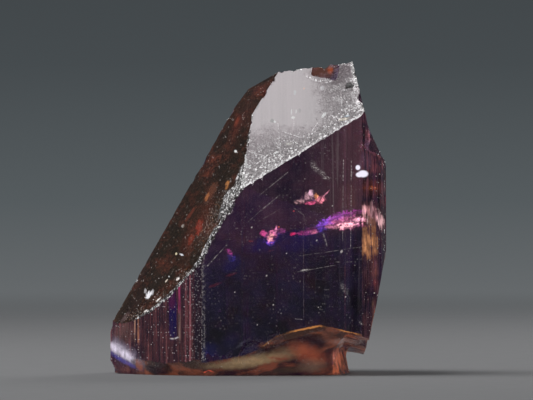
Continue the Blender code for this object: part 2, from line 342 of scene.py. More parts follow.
def top_relief(x, y, pick):
    """Etching and growth marks of the top faces, as a change of height.

    Flakes of two sizes etch the silver face, more strongly near its lower edge, by
    exp(-y / 0.55), and to the right. The rear faces have treads, 1.25 to a millimetre, from
    the fraction of a slope over the plan.
    """
    upslope = 1.5 * y + 0.5 * x
    band = np.exp(-np.maximum(y + 0.05 * cloud(3 * x, y, 5), 0.0) / 0.55)
    right = smooth(2.3, 3.0, x) * 0.55 + smooth(3.3, 4.4, x) * 0.6
    strength = 0.0015 + 0.017 * band + 0.008 * right
    etched = flakes(7.0 * x, 6.0 * y, 21) + 0.6 * flakes(13.0 * x, 11.0 * y, 31)
    streaks = 0.0025 * cloud(9.0 * x, 1.2 * upslope, 3)
    tilt = 0.004 * np.sin(2.2 * x + 0.6)
    silver = strength * etched + streaks + tilt
    slant = 0.004 * cloud(2.4 * x, 2.4 * y, 9)
    slant = slant + 0.006 * np.minimum(cloud(6 * x, 6 * y, 11) + 0.5, 0)
    steps = x * 0.55 + y * 0.84 + 0.12 * cloud(1.3 * x, 1.3 * y, 17)
    rear = 0.05 * (np.floor(1.25 * steps) - 1.25 * steps) + 0.006 * cloud(5 * x, 5 * y, 13)
    peak = 0.020 * flakes(5.0 * x, 4.0 * y, 41)
    return np.choose(pick, [silver, slant, slant, rear, rear, peak, peak])


def foot_relief(x, y, pick):
    """Ripples round one middle and flaky hackles of the broken underside, none on the flat foot."""
    distance = np.hypot(x - RIPPLE_MIDDLE[0], y - RIPPLE_MIDDLE[1])
    ripples = 0.016 * np.sin(11.0 * distance + 1.5 * cloud(1.2 * x, 1.2 * y, 23))
    hackles = 0.022 * flakes(2.6 * x, 2.6 * y, 51)
    broken = ripples + hackles
    return np.where(pick == FLAT, 0.0, np.where(pick >= ARCH, broken, 0.4 * broken))


def wall_relief(columns, z):
    """Full-height ledges and ridges, and fine lines that start and stop along the height.

    The lines are clouds drawn out along z; 4, 13 and 9 to a millimetre across, in this order.
    """
    step, run, lines, index = columns[[STEP, RUN, LINES, WALL]]
    place = run + RUN_GAP * index
    broad = cloud(4.0 * place + 0.0 * z, 0.16 * z + 3.0 * index, 61)
    fine = cloud(13.0 * place + 0.0 * z, 0.35 * z + 5.0 * index, 67)
    grooves = -np.maximum(cloud(9.0 * place + 0.0 * z, 0.10 * z + 7.0 * index, 71) - 0.45, 0.0)
    return step + lines * (broad + 0.6 * fine + 2.2 * grooves)


def toe(x, y, z):
    """Push the lowest part of the notch wall out to the right, where it overhangs."""
    sheared = x - NOTCH_SHEAR * y
    near = smooth(*TOE_STARTS, sheared) * (1.0 - smooth(*TOE_ENDS, sheared))
    inside = 1.0 - smooth(*TOE_BACK, y)
    return x + np.interp(z, TOE_Z, TOE_REACH) * near * inside


def crystal_grid():
    """Rows of points from the top to the foot, with the face that each row cell lies on."""
    columns = wall_columns()
    top_x, top_y = fan_rows(columns, TOP_ROWS, TOP_CROWDING)
    top_x, top_y = slid_to_creases(top_x, top_y, top_surfaces, top_pick)
    peak_x, peak_y = peak_place()
    nearest = np.argmin(np.hypot(top_x - peak_x, top_y - peak_y))
    top_x.flat[nearest], top_y.flat[nearest] = peak_x, peak_y
    heights = top_surfaces(top_x, top_y)
    pick = top_pick(heights)
    top_z = chosen(heights, pick) + top_relief(top_x, top_y, pick)
    foot_x, foot_y = fan_rows(columns, FOOT_ROWS, FOOT_CROWDING)
    foot_x, foot_y = slid_to_creases(foot_x, foot_y, foot_surfaces, foot_pick)
    heights = foot_surfaces(foot_x, foot_y)
    pick = foot_pick(heights)
    foot_z = chosen(heights, pick) + foot_relief(foot_x, foot_y, pick)
    foot_z = np.maximum(foot_z, 0.0)
    share = np.linspace(0.0, 1.0, WALL_ROWS + 1)[1:-1, None]
    wall_z = top_z[-1] + share * (foot_z[-1] - top_z[-1])
    wall_x = columns[PLAN_X] + 0.0 * wall_z
    wall_y = columns[PLAN_Y] + 0.0 * wall_z
    x = np.concatenate([top_x, wall_x, foot_x[::-1]])
    y = np.concatenate([top_y, wall_y, foot_y[::-1]])
    z = np.concatenate([top_z, wall_z, foot_z[::-1]])
    out = np.zeros_like(x)
    out[TOP_ROWS - 1:TOP_ROWS + WALL_ROWS] = 1.0
    out = out * wall_relief(columns, z)
    x = toe(x + out * columns[OUT_X], y, z)
    y = y + out * columns[OUT_Y]
    return np.stack([x, y + LEAN * z, z], axis=-1)


# Chips along the edges: start, end, how many, and their middle size
CHIPPED_EDGES = (
    ((-0.32, 0.70, 8.00), (-2.13, 0.43, 4.90), 26, 0.055),
    ((-0.60, 1.00, 7.90), (-1.30, 0.85, 6.60), 14, 0.070),
    ((-2.20, 0.50, 4.80), (-5.60, 3.20, 2.22), 26, 0.050),
    ((-0.25, 0.70, 8.04), (4.75, 0.97, 11.10), 26, 0.028),
    ((-0.25, 1.05, 8.45), (0.20, 3.19, 11.30), 7, 0.06),
    ((0.25, 3.24, 11.38), (1.27, 4.16, 13.06), 5, 0.045),
    ((1.40, 4.18, 13.15), (4.35, 3.17, 13.55), 16, 0.045),
    ((4.60, 3.00, 13.45), (5.00, 1.30, 11.66), 9, 0.08),
    ((4.76, 2.30, 12.80), (5.02, 1.25, 11.60), 4, 0.12),
    ((5.24, 1.24, 10.62), (5.97, 1.95, 9.12), 14, 0.09),
    ((-1.95, 0.06, 4.70), (-1.95, 0.06, 0.75), 12, 0.04),
    ((-1.80, 0.06, 0.72), (5.20, 0.15, 1.70), 22, 0.06),
    ((-0.70, 4.70, 11.40), (-5.30, 3.70, 3.20), 14, 0.06),
    ((3.30, 8.20, 6.20), (-1.60, 8.30, 5.60), 12, 0.09),
    ((5.95, 1.95, 9.00), (5.85, 1.55, 3.10), 14, 0.06),
)
CHIP_SEED = 11

# Spread of their sizes; how far out each sits and how far it can bite, in sizes of its own
CHIP_SPREAD = 0.45
CHIP_OUT = (0.2, 0.7)
CHIP_NEAR = 4.0

# The lump that bites a chip: its sides, how far it is drawn out, the reaches of its sides,
# and the least slant of a side that a point is pushed out through
LUMP_SIDES = 11
LUMP_STRETCH = (0.2, 1.6)
LUMP_REACH = (0.65, 1.15)
LEAST_CLOSING = 0.05

# Sparkling crushed bands along edges: start, end, half width at each, and strength
WORN_BANDS = (
    ((-0.30, 0.70, 8.20), (-0.85, 0.95, 7.75), 0.20, 0.84, 1.0),
    ((-0.42, 0.95, 8.20), (-0.36, 1.70, 9.35), 0.60, 0.16, 1.0),
    ((-0.85, 0.95, 7.75), (-1.15, 0.80, 6.90), 0.84, 0.44, 1.0),
    ((-1.15, 0.70, 6.90), (-2.13, 0.43, 4.90), 0.32, 0.20, 0.9),
    ((-2.15, 0.45, 4.88), (-2.75, 0.64, 4.17), 0.17, 0.15, 0.8),
    ((-2.75, 0.64, 4.17), (-3.40, 1.00, 3.47), 0.15, 0.16, 0.8),
    ((-3.40, 1.00, 3.47), (-4.20, 1.55, 2.80), 0.16, 0.13, 0.8),
    ((-4.20, 1.55, 2.80), (-5.00, 2.38, 2.32), 0.12, 0.09, 0.7),
    ((-5.00, 2.38, 2.32), (-5.70, 3.35, 2.20), 0.08, 0.06, 0.5),
    ((-0.25, 0.70, 8.04), (4.75, 0.97, 11.10), 0.030, 0.030, 0.7),
    ((-0.25, 1.00, 8.35), (0.20, 3.19, 11.30), 0.07, 0.06, 0.6),
    ((1.40, 4.18, 13.15), (2.50, 3.80, 13.30), 0.07, 0.07, 0.7),
    ((3.95, 3.30, 13.50), (4.40, 3.17, 13.57), 0.08, 0.10, 0.7),
    ((4.55, 3.05, 13.50), (5.02, 1.20, 11.60), 0.14, 0.20, 1.0),
    ((5.02, 1.15, 11.50), (5.97, 1.95, 9.12), 0.13, 0.12, 0.8),
    ((5.97, 1.90, 9.10), (5.90, 1.45, 4.20), 0.07, 0.06, 0.5),
    ((5.85, 1.40, 4.20), (5.30, 0.90, 1.90), 0.09, 0.06, 0.6),
    ((-1.80, 0.06, 0.72), (5.20, 0.15, 1.70), 0.05, 0.05, 0.5),
    ((-0.70, 4.70, 11.40), (-5.30, 3.70, 3.20), 0.07, 0.07, 0.3),
    ((3.30, 8.20, 6.20), (-1.60, 8.30, 5.60), 0.10, 0.10, 0.5),
)

# Share of a band's width that is wholly crushed; patches to a millimetre that fray its rim,
# their seed, and the worn share above which a triangle is crushed
WORN_CORE = 0.35
WORN_PATCHES = 4.0
WORN_SEED = 3
WORN_LIMIT = 0.5

# Larger round breaks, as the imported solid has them: point, outward way, radius, depth
SCOOPS = (
    ((0.20, 0.10, 1.22), (0.10, -0.80, -0.60), 0.62, 0.24),
    ((1.15, 0.12, 1.58), (0.25, -0.85, -0.50), 0.46, 0.15),
    ((1.75, 1.00, 0.56), (0.05, -0.77, -0.64), 2.60, 0.15),
    ((-3.60, 1.25, 0.08), (-0.30, -0.70, -0.65), 1.30, 0.16),
    ((-5.85, 4.30, 0.25), (-0.80, -0.20, -0.57), 0.90, 0.22),
    ((5.72, 5.70, 5.50), (0.90, 0.43, 0.00), 2.20, 0.20),
    ((5.32, 2.20, 1.95), (0.80, -0.10, -0.60), 2.60, 0.17),
    ((4.78, 3.95, 12.15), (0.80, 0.50, 0.30), 1.60, 0.12),
    ((-3.30, 7.18, 2.90), (-0.60, 0.75, 0.25), 2.40, 0.20),
    ((3.35, 8.00, 3.60), (0.35, 0.93, 0.00), 2.60, 0.18),
)

# The step in the top ridge: middle, half sizes, its turn about the height, the way up from
# its floor, how far its sides and back wall lean, and the way in which it opens
RIDGE_STEP_MIDDLE = (3.22, 2.93, 13.30)
RIDGE_STEP_HALF = (0.60, 0.57, 0.38)
RIDGE_TURN = -0.353
RIDGE_STEP_UP = (0.26, 0.06, 1.0)
SIDE_LEAN = 0.08
BACK_LEAN = -0.10
RIDGE_STEP_OPENS = (0.0, -0.15, 1.0)

# How near to the step a triangle is part of it, and how far above the floor part of a wall
STEP_SKIN = 0.05
STEP_FLOOR = 0.04

# The place towards which the chips bite
CRYSTAL_MIDDLE = (0.8, 4.2, 6.0)


def unit(way):
    return np.asarray(way, dtype=float) / np.linalg.norm(way)


def bite_ball(points, centre, outward, radius, depth):
    """Push every point inside a ball out of its far side, against the outward way."""
    outward = unit(outward)
    offset = points - (np.asarray(centre) + outward * (radius - depth))
    reach = offset @ outward
    root = reach ** 2 - (offset ** 2).sum(axis=-1) + radius ** 2
    travel = reach + np.sqrt(np.maximum(root, 0.0))
    inside = (offset ** 2).sum(axis=-1) < radius ** 2
    return points - np.where(inside, travel, 0.0)[..., None] * outward


def bite_lump(points, centre, outward, sides, reaches):
    """Push every point inside a lump with flat sides out against the outward way."""
    outward = unit(outward)
    gaps = reaches - (points - np.asarray(centre)) @ sides.T
    closing = sides @ -outward
    ahead = closing > LEAST_CLOSING
    travel = (gaps[..., ahead] / closing[ahead]).min(axis=-1)
    inside = (gaps > 0.0).all(axis=-1)
    return points - np.where(inside, travel, 0.0)[..., None] * outward


def random_lump(dice, size, along):
    """Sides and reaches of an uneven lump, drawn out along the edge that it chips."""
    sides = dice.normal(size=(LUMP_SIDES, 3))
    sides /= np.linalg.norm(sides, axis=1)[:, None]
    length = 1.0 + dice.uniform(*LUMP_STRETCH) * np.abs(sides @ along)
    return sides, size * length * dice.uniform(*LUMP_REACH, size=LUMP_SIDES)


def chipped(points):
    """The edge chips: each lump sits near its edge and bites towards the crystal's middle."""
    dice = np.random.default_rng(CHIP_SEED)
    flat = points.reshape(-1, 3).copy()
    for start, end, count, size in CHIPPED_EDGES:
        start, end = np.asarray(start), np.asarray(end)
        along = unit(end - start)
        for place in np.sort(dice.uniform(0.0, 1.0, size=count)):
            centre = start + (end - start) * place
            own_size = size * math.exp(CHIP_SPREAD * dice.normal())
            outward = centre - CRYSTAL_MIDDLE
            outward = unit(outward - along * (outward @ along))
            centre = centre + outward * own_size * dice.uniform(*CHIP_OUT)
            sides, reaches = random_lump(dice, own_size, along)
            reach = CHIP_NEAR * own_size
            near = np.flatnonzero(((flat - centre) ** 2).sum(axis=1) < reach ** 2)
            flat[near] = bite_lump(flat[near], centre, outward, sides, reaches)
    return flat.reshape(points.shape)


def worn_share(flat):
    """How crushed the surface is: 1 on the middle line of a band, 0 beyond its half width."""
    share = np.zeros(len(flat))
    for start, end, width_start, width_end, strength in WORN_BANDS:
        start, end = np.asarray(start), np.asarray(end)
        span = end - start
        place = np.clip((flat - start) @ span / (span @ span), 0.0, 1.0)
        distance = np.linalg.norm(flat - start - place[:, None] * span, axis=1)
        width = width_start + (width_end - width_start) * place
        share = np.maximum(share, strength * (1.0 - smooth(WORN_CORE * width, width, distance)))
    return share


def step_block():
    """Outward ways of the step's sides, back and floor, and how far each is from its middle."""
    across = np.array([math.cos(RIDGE_TURN), math.sin(RIDGE_TURN), SIDE_LEAN])
    back = np.array([-math.sin(RIDGE_TURN), math.cos(RIDGE_TURN), BACK_LEAN])
    up = np.array(RIDGE_STEP_UP)
    sides = np.array([unit(side) for side in (across, -across, back, -up)])
    half_x, half_y, half_z = RIDGE_STEP_HALF
    return sides, np.array([half_x, half_x, half_y, half_z])


def stepped(points):
    """The missing block in front of the short steep wall in the top ridge."""
    return bite_lump(points, RIDGE_STEP_MIDDLE, RIDGE_STEP_OPENS, *step_block())


def in_step(points):
    """Whether each point lies on the step's back wall or on its sides, not on its floor."""
    sides, reaches = step_block()
    gaps = reaches - (points - np.asarray(RIDGE_STEP_MIDDLE)) @ sides.T
    return (gaps > -STEP_SKIN).all(axis=1) & (gaps[:, 3] > STEP_FLOOR)


def ring_cells(rows, count):
    """Numbers of the four corners of each cell of a grid whose rows are closed rings."""
    number = np.arange(rows * count).reshape(rows, count)
    a, b = number[:-1], number[1:]
    return a, b, np.roll(b, -1, axis=1), np.roll(a, -1, axis=1)


def pole_fan(pole, start, end):
    """Triangles from one pole to each start and end."""
    return np.stack([np.full(len(start), pole), start, end], axis=-1)


def split_quads(points):
    """Two triangles for each cell of neighbouring rows, on the diagonal that stands out more."""
    a, b, c, d = ring_cells(*points.shape[:2])
    corner = points.reshape(-1, 3)
    outward = np.cross(corner[b] - corner[d], corner[c] - corner[a])
    lift = corner[a] + corner[c] - corner[b] - corner[d]
    first = ((lift * outward).sum(axis=-1) > 0.0)[..., None]
    one = np.where(first, np.stack([a, b, c], -1), np.stack([a, b, d], -1))
    two = np.where(first, np.stack([a, c, d], -1), np.stack([b, c, d], -1))
    return np.stack([one, two], axis=2).reshape(-1, 3)


def face_of(centres, on_top, on_foot):
    """The number of the crystal's face that each triangle lies on; -1 for the walls."""
    x, y = centres[:, 0], centres[:, 1] - LEAN * centres[:, 2]
    top = np.array([TOP_NAMES.index(name) for name, _ in TOPS])
    top_face = top[top_pick(top_surfaces(x, y))] + len(WALL_NAMES)
    return np.where(on_top, top_face, np.where(on_foot, FACE_NAMES.index("broken"), -1))


def scooped(points):
    """The larger round breaks."""
    for scoop in SCOOPS:
        points = bite_ball(points, *scoop)
    return points


def crystal_mesh():
    """Points and triangles of the closed grid, the face of each triangle, and the run.

    A triangle is crushed where its worn share, times 0.6 to 1.4 by the hashed patch that it
    lies in, is above the limit.
    """
    points = chipped(scooped(stepped(crystal_grid())))
    points[..., 2] = np.maximum(points[..., 2], 0.0)
    rows, count = points.shape[:2]
    columns = wall_columns()
    flat = points.reshape(-1, 3)
    poles = [flat[:count].mean(axis=0), flat[-count:].mean(axis=0)]
    ring = np.arange(count)
    row = np.concatenate([np.repeat(np.arange(rows - 1), 2 * count), 0 * ring, 0 * ring + rows])
    after = np.roll(ring, -1)
    last = (rows - 1) * count
    top_fan = pole_fan(rows * count, ring, after)
    foot_fan = pole_fan(rows * count + 1, after + last, ring + last)
    flat = np.concatenate([flat, poles])
    triangles = np.concatenate([split_quads(points), top_fan, foot_fan])
    column = np.concatenate([np.tile(np.repeat(ring, 2), rows - 1), ring, ring])
    middles = flat[triangles].mean(axis=1)
    face = face_of(middles, row < TOP_ROWS - 1, row >= TOP_ROWS + WALL_ROWS - 1)
    face = np.where(face < 0, columns[FACE][column].astype(int), face)
    patch = np.round(WORN_PATCHES * middles)
    ragged = 0.6 + 0.8 * hashed(patch[:, 0], patch[:, 2], WORN_SEED)
    crushed = worn_share(middles) * ragged > WORN_LIMIT
    face = np.where(crushed, FACE_NAMES.index("crushed"), face)
    face = np.where(in_step(middles), FACE_NAMES.index("rear"), face)
    run = np.append(np.tile(columns[RUN] + RUN_GAP * columns[WALL], rows), [0.0, 0.0])
    return flat, triangles, face, run


def new_object(name, data):
    """An object of the scene, at the origin."""
    item = bpy.data.objects.new(name, data)
    bpy.context.scene.collection.objects.link(item)
    return item


def mesh_object(name, points, faces):
    """A mesh object at the origin from points in the crystal's own millimetres."""
    placed = np.clip((points + np.array([0.0, FOOT_LINE, 0.0])) * MM, *CAD_BOX)
    mesh = bpy.data.meshes.new(name)
    mesh.from_pydata(placed.tolist(), [], faces.tolist())
    return new_object(name, mesh)


def rgb(red, green, blue):
    return (red, green, blue, 1.0)


class Shade:
    """A shader socket in an expression: each operator adds a Math node and gives its output."""

    def __init__(self, tree, socket=None):
        self.tree = tree
        self.socket = socket

    def node(self, kind, settings, sockets, output=0):
        """Add a node: its settings first, then the values or the links of its sockets."""
        node = self.tree.nodes.new(kind)
        for name, value in settings.items():
            if name == "stops":
                for index, (place, colour) in enumerate(value):
                    stops = node.color_ramp.elements
                    stop = stops[index] if index < 2 else stops.new(place)
                    stop.position = place
                    stop.color = colour
            else:
                setattr(node, name, value)
        for name, value in sockets.items():
            if isinstance(value, Shade):
                self.tree.links.new(value.socket, node.inputs[name])
            else:
                node.inputs[name].default_value = value
        return Shade(self.tree, node.outputs[output] if node.outputs else None)

    def math(self, operation, *values):
        return self.node("ShaderNodeMath", {"operation": operation}, dict(enumerate(values)))

    def __add__(self, other):
        return self.math("ADD", self, other)

    def __radd__(self, other):
        return self.math("ADD", other, self)

    def __sub__(self, other):
        return self.math("SUBTRACT", self, other)

    def __rsub__(self, other):
        return self.math("SUBTRACT", other, self)

    def __mul__(self, other):
        return self.math("MULTIPLY", self, other)

    def __rmul__(self, other):
        return self.math("MULTIPLY", other, self)

    def most(self, other):
        return self.math("MAXIMUM", self, other)

    def size(self):
        return self.math("ABSOLUTE", self)

    def step(self, start, end):
        """A smooth step from 0 at start to 1 at end; start may be the greater."""
        settings = {"interpolation_type": "SMOOTHSTEP", "clamp": True}
        sockets = {"Value": self, "From Min": min(start, end), "From Max": max(start, end)}
        sockets["To Min"] = 1.0 if start > end else 0.0
        sockets["To Max"] = 0.0 if start > end else 1.0
        return self.node("ShaderNodeMapRange", settings, sockets)

    def axis(self, name):
        return self.node("ShaderNodeSeparateXYZ", {}, {"Vector": self}, name)

    def run(self):
        """The length along the plan, as the mesh stores it at each point."""
        return self.node("ShaderNodeAttribute", {"attribute_name": "run"}, {}, "Fac")

    def vector(self, x, y, z=0.0):
        return self.node("ShaderNodeCombineXYZ", {}, {"X": x, "Y": y, "Z": z})

    def noise(self, place, scale, detail=2.0, roughness=0.5, swirl=0.0):
        """Cloudy noise, mostly from 0.3 to 0.7."""
        sockets = {"Vector": place, "Scale": scale, "Detail": detail, "Roughness": roughness}
        sockets["Distortion"] = swirl
        return self.node("ShaderNodeTexNoise", {}, sockets, "Fac")

    def cells(self, place, pitch):
        """One even value from 0 to 1 in each small uneven cell."""
        sockets = {"Vector": place, "Scale": 1.0 / pitch}
        return self.node("ShaderNodeTexVoronoi", {}, sockets, "Color").axis("X")

    def specks(self, place, pitch, share, wide, dimensions="3D"):
        """Round specks in the given share of small uneven cells, as wide as a part of the pitch."""
        settings = {"voronoi_dimensions": dimensions}
        sockets = {"Vector": place, "Scale": 1.0 / pitch}
        reach = self.node("ShaderNodeTexVoronoi", settings, sockets, "Distance")
        lot = self.node("ShaderNodeTexVoronoi", settings, sockets, "Color").axis("Y")
        return reach.step(wide, 0.4 * wide) * lot.step(1.0 - share, 1.02 - share)

    def flecks(self, place, scale, level):
        """Lone soft grains, where noise of one size passes a high level."""
        return self.noise(place, scale, 1.0, 0.4).step(level, level + 0.06)

    def veins(self, place, scale, width, swirl=0.4, detail=2.0):
        """Thin winding lines, where cloudy noise passes through its middle value."""
        level = self.noise(place, scale, detail, 0.55, swirl) - 0.5
        return level.size().step(width, 0.2 * width)

    def stroke(self, across, up, start, end, width):
        """1 on the straight line from start to end, and 0 beyond width from it."""
        (x0, z0), (x1, z1) = start, end
        length = math.hypot(x1 - x0, z1 - z0)
        way_x, way_z = (x1 - x0) / length, (z1 - z0) / length
        along = (across - x0) * way_x + (up - z0) * way_z
        aside = (across - x0) * -way_z + (up - z0) * way_x
        inside = along.step(-width, width) * along.step(length + width, length - width)
        return aside.size().step(width, 0.25 * width) * inside

    def path(self, across, up, points, width):
        """1 on the straight lines from point to point, and 0 beyond width from them."""
        near = 0.0
        for start, end in zip(points, points[1:]):
            near = self.stroke(across, up, start, end, width).most(near)
        return near

    def oval(self, x, z, middle, half_x, half_z, slope, ragged=0.0, core=0.4):
        """1 inside a sheared oval and 0 outside, with a ragged edge as wide as the core asks."""
        off_x = (x - middle[0]) * (1.0 / half_x)
        off_z = (z - middle[1] - (x - middle[0]) * slope) * (1.0 / half_z)
        return (off_x * off_x + off_z * off_z + ragged).step(1.0, core)

    def painted(self, colour, paints, x, z, ragged, core=0.4):
        """Ragged patches of colour: middle, half sizes, slope, colour, strength."""
        for middle, half_x, half_z, slope, tint, strength in paints:
            cover = self.oval(x, z, middle, half_x, half_z, slope, ragged, core)
            colour = self.blend(colour, tint, strength * cover)
        return colour

    def glinting(self, x, z):
        """1 on the painted white glints near the right corner."""
        share = 0.0
        for middle, half_x, half_z in GLINTS:
            share = self.oval(x, z, middle, half_x, half_z, 0.0, 0.0, 0.3).most(share)
        return share

    def blend(self, low, high, share):
        """A colour from low, where the share is 0, to high, where it is 1."""
        return self.node("ShaderNodeMix", {"data_type": "RGBA"}, {0: share, 6: low, 7: high}, 2)

    def scaled(self, colour, factor):
        """A colour times a number."""
        sockets = {0: colour if isinstance(colour, Shade) else colour[:3], "Scale": factor}
        return self.node("ShaderNodeVectorMath", {"operation": "SCALE"}, sockets)

    def profile(self, points):
        """A height read at this place off the straight lines from point to point."""
        first, span = points[0][0], points[-1][0] - points[0][0]
        tall = max(height for place, height in points)
        stops = [((place - first) / span, rgb(*(height / tall,) * 3)) for place, height in points]
        return self.ramp((self - first) * (1.0 / span), *stops) * tall

    def ramp(self, share, *stops):
        """A colour picked by the share from stops of place and colour."""
        return self.node("ShaderNodeValToRGB", {"stops": stops}, {"Fac": share}, "Color")


# Marks on the front face: start, end, half width in mm, strength
SCRATCHES = (
    ((1.05, 8.21), (1.74, 8.77), 0.032, 0.50),
    ((0.45, 7.72), (1.05, 8.21), 0.026, 0.30),
    ((0.55, 7.10), (1.38, 7.78), 0.034, 0.45),
    ((0.02, 6.62), (0.55, 7.10), 0.022, 0.28),
    ((0.32, 6.54), (1.40, 7.18), 0.020, 0.22),
    ((-0.88, 5.64), (-1.32, 5.18), 0.026, 0.50),
    ((-1.32, 5.18), (-1.74, 4.72), 0.036, 0.60),
    ((2.40, 6.97), (2.42, 2.41), 0.016, 0.24),
    ((2.05, 2.46), (2.36, 2.43), 0.028, 0.55),
    ((2.00, 7.22), (2.43, 6.92), 0.022, 0.35),
    ((2.43, 6.92), (2.50, 6.50), 0.018, 0.30),
    ((3.30, 5.31), (4.88, 5.55), 0.020, 0.42),
    ((2.20, 5.16), (3.30, 5.31), 0.018, 0.25),
    ((2.13, 4.47), (3.75, 4.76), 0.022, 0.40),
    ((3.80, 4.90), (3.98, 4.90), 0.034, 0.50),
    ((4.25, 4.91), (4.50, 4.91), 0.034, 0.45),
    ((0.84, 1.50), (1.27, 0.73), 0.024, 0.80),
    ((3.27, 6.12), (3.42, 5.60), 0.050, 0.40),
    ((4.14, 9.32), (4.12, 8.38), 0.026, 0.90),
    ((4.48, 9.25), (4.47, 8.38), 0.028, 1.00),
    ((4.12, 8.20), (4.10, 5.80), 0.020, 0.55),
    ((4.47, 8.20), (4.44, 5.50), 0.022, 0.65),
)

# Rubbed places on the front face: middle, half sizes, slope, strength
RUBS = (
    ((2.88, 9.02), 0.22, 0.26, -0.8, 0.60),
    ((3.20, 8.74), 0.26, 0.20, -0.7, 0.55),
    ((3.42, 8.52), 0.24, 0.09, 0.0, 0.60),
    ((4.16, 3.76), 0.22, 0.26, -1.0, 0.40),
    ((4.92, 2.26), 0.16, 0.10, -0.4, 0.50),
    ((2.50, 4.55), 0.28, 0.06, 0.08, 1.00),
)

# Lone bright grains on the front face: place and half width
GRAINS = (
    ((0.18, 6.39), 0.045), ((2.98, 5.83), 0.045), ((3.66, 7.32), 0.035), ((0.82, 4.31), 0.045),
    ((1.68, 5.27), 0.035), ((4.05, 5.35), 0.070), ((1.11, 3.06), 0.040), ((-0.55, 3.60), 0.035),
    ((2.37, 4.54), 0.045), ((4.22, 3.40), 0.040), ((0.42, 2.20), 0.030), ((3.05, 2.95), 0.030),
)

# Painted highlights, the white glints near the right corner: middle and half sizes, and their
# colour
GLINTS = (((4.98, 8.70), 0.27, 0.18), ((4.76, 8.97), 0.12, 0.13), ((4.82, 8.66), 0.18, 0.13))
GLINT = rgb(0.9, 0.86, 1.0)

# The line in the front face that parts its upper field of painted violet glow from its dark lower
# one
FIELD_LINE = ((-2.0, 4.9), (6.0, 7.0))

# Painted deep light and shade in the front face, soft: middle, half sizes, slope, colour, strength
FRONT_CLOUDS = (
    ((2.10, 5.84), 1.60, 0.62, 0.12, rgb(0.002, 0.002, 0.042), 0.85),
    ((0.55, 5.60), 0.75, 0.46, 0.10, rgb(0.004, 0.003, 0.050), 0.80),
    ((-0.70, 4.84), 0.50, 0.42, 0.30, rgb(0.005, 0.004, 0.046), 0.75),
    ((-1.62, 1.05), 0.50, 0.52, 0.00, rgb(0.006, 0.006, 0.060), 0.85),
    ((-0.70, 1.55), 0.50, 0.45, 0.30, rgb(0.005, 0.005, 0.030), 0.60),
    ((4.30, 7.72), 0.50, 0.70, 0.00, rgb(0.085, 0.036, 0.028), 0.60),
    ((4.70, 7.95), 0.40, 0.40, 0.00, rgb(0.060, 0.020, 0.022), 0.60),
    ((5.05, 9.20), 0.34, 0.55, 0.90, rgb(0.110, 0.060, 0.095), 0.75),
    ((4.62, 3.50), 0.26, 2.60, 0.00, rgb(0.000, 0.000, 0.001), 0.95),
    ((3.30, 2.00), 1.80, 0.30, -0.10, rgb(0.012, 0.006, 0.007), 0.60),
)

# Small painted lights in the front face
FRONT_LIGHTS = (
    ((-1.40, 3.91), 0.36, 0.09, 0.35, rgb(0.060, 0.008, 0.014), 0.60),
    ((-0.70, 4.36), 0.28, 0.07, 0.30, rgb(0.060, 0.008, 0.014), 0.55),
    ((0.15, 5.80), 0.12, 0.06, 0.00, rgb(0.120, 0.020, 0.025), 0.70),
    ((0.97, 5.38), 0.22, 0.05, 0.20, rgb(0.060, 0.014, 0.020), 0.60),
    ((1.35, 6.41), 0.05, 0.04, 0.00, rgb(0.500, 0.090, 0.050), 0.80),
    ((1.99, 7.09), 0.05, 0.04, 0.00, rgb(0.600, 0.080, 0.080), 0.90),
    ((0.70, 1.30), 0.32, 0.26, 0.00, rgb(0.055, 0.022, 0.014), 0.80),
    ((-0.30, 1.35), 0.30, 0.10, 0.70, rgb(0.030, 0.030, 0.045), 0.70),
)

# Lower edge of the front face with its arch, as x and z, and the painted gold light along it
ARCH_RIM = (
    (-2.00, 0.55), (-1.75, 0.58), (-0.89, 0.73), (-0.19, 0.87), (0.40, 1.08), (1.22, 1.69),
    (1.86, 1.90), (3.12, 2.16), (4.67, 1.80), (5.30, 1.66),
)
RIM_GOLD_LIGHT = rgb(0.42, 0.17, 0.045)
# Painted dim brown glow below the rim, and the grey of scratches, rubs and dust, which they give
# off as painted sheen
ARCH_BROWN = rgb(0.032, 0.015, 0.008)
DUST_AND_SHEEN = rgb(0.42, 0.38, 0.37)

# The long hollow in the front face, with painted shade in it: middle and half sizes
SHADED_HOLLOW = ((4.62, 3.50), 0.30, 2.80)


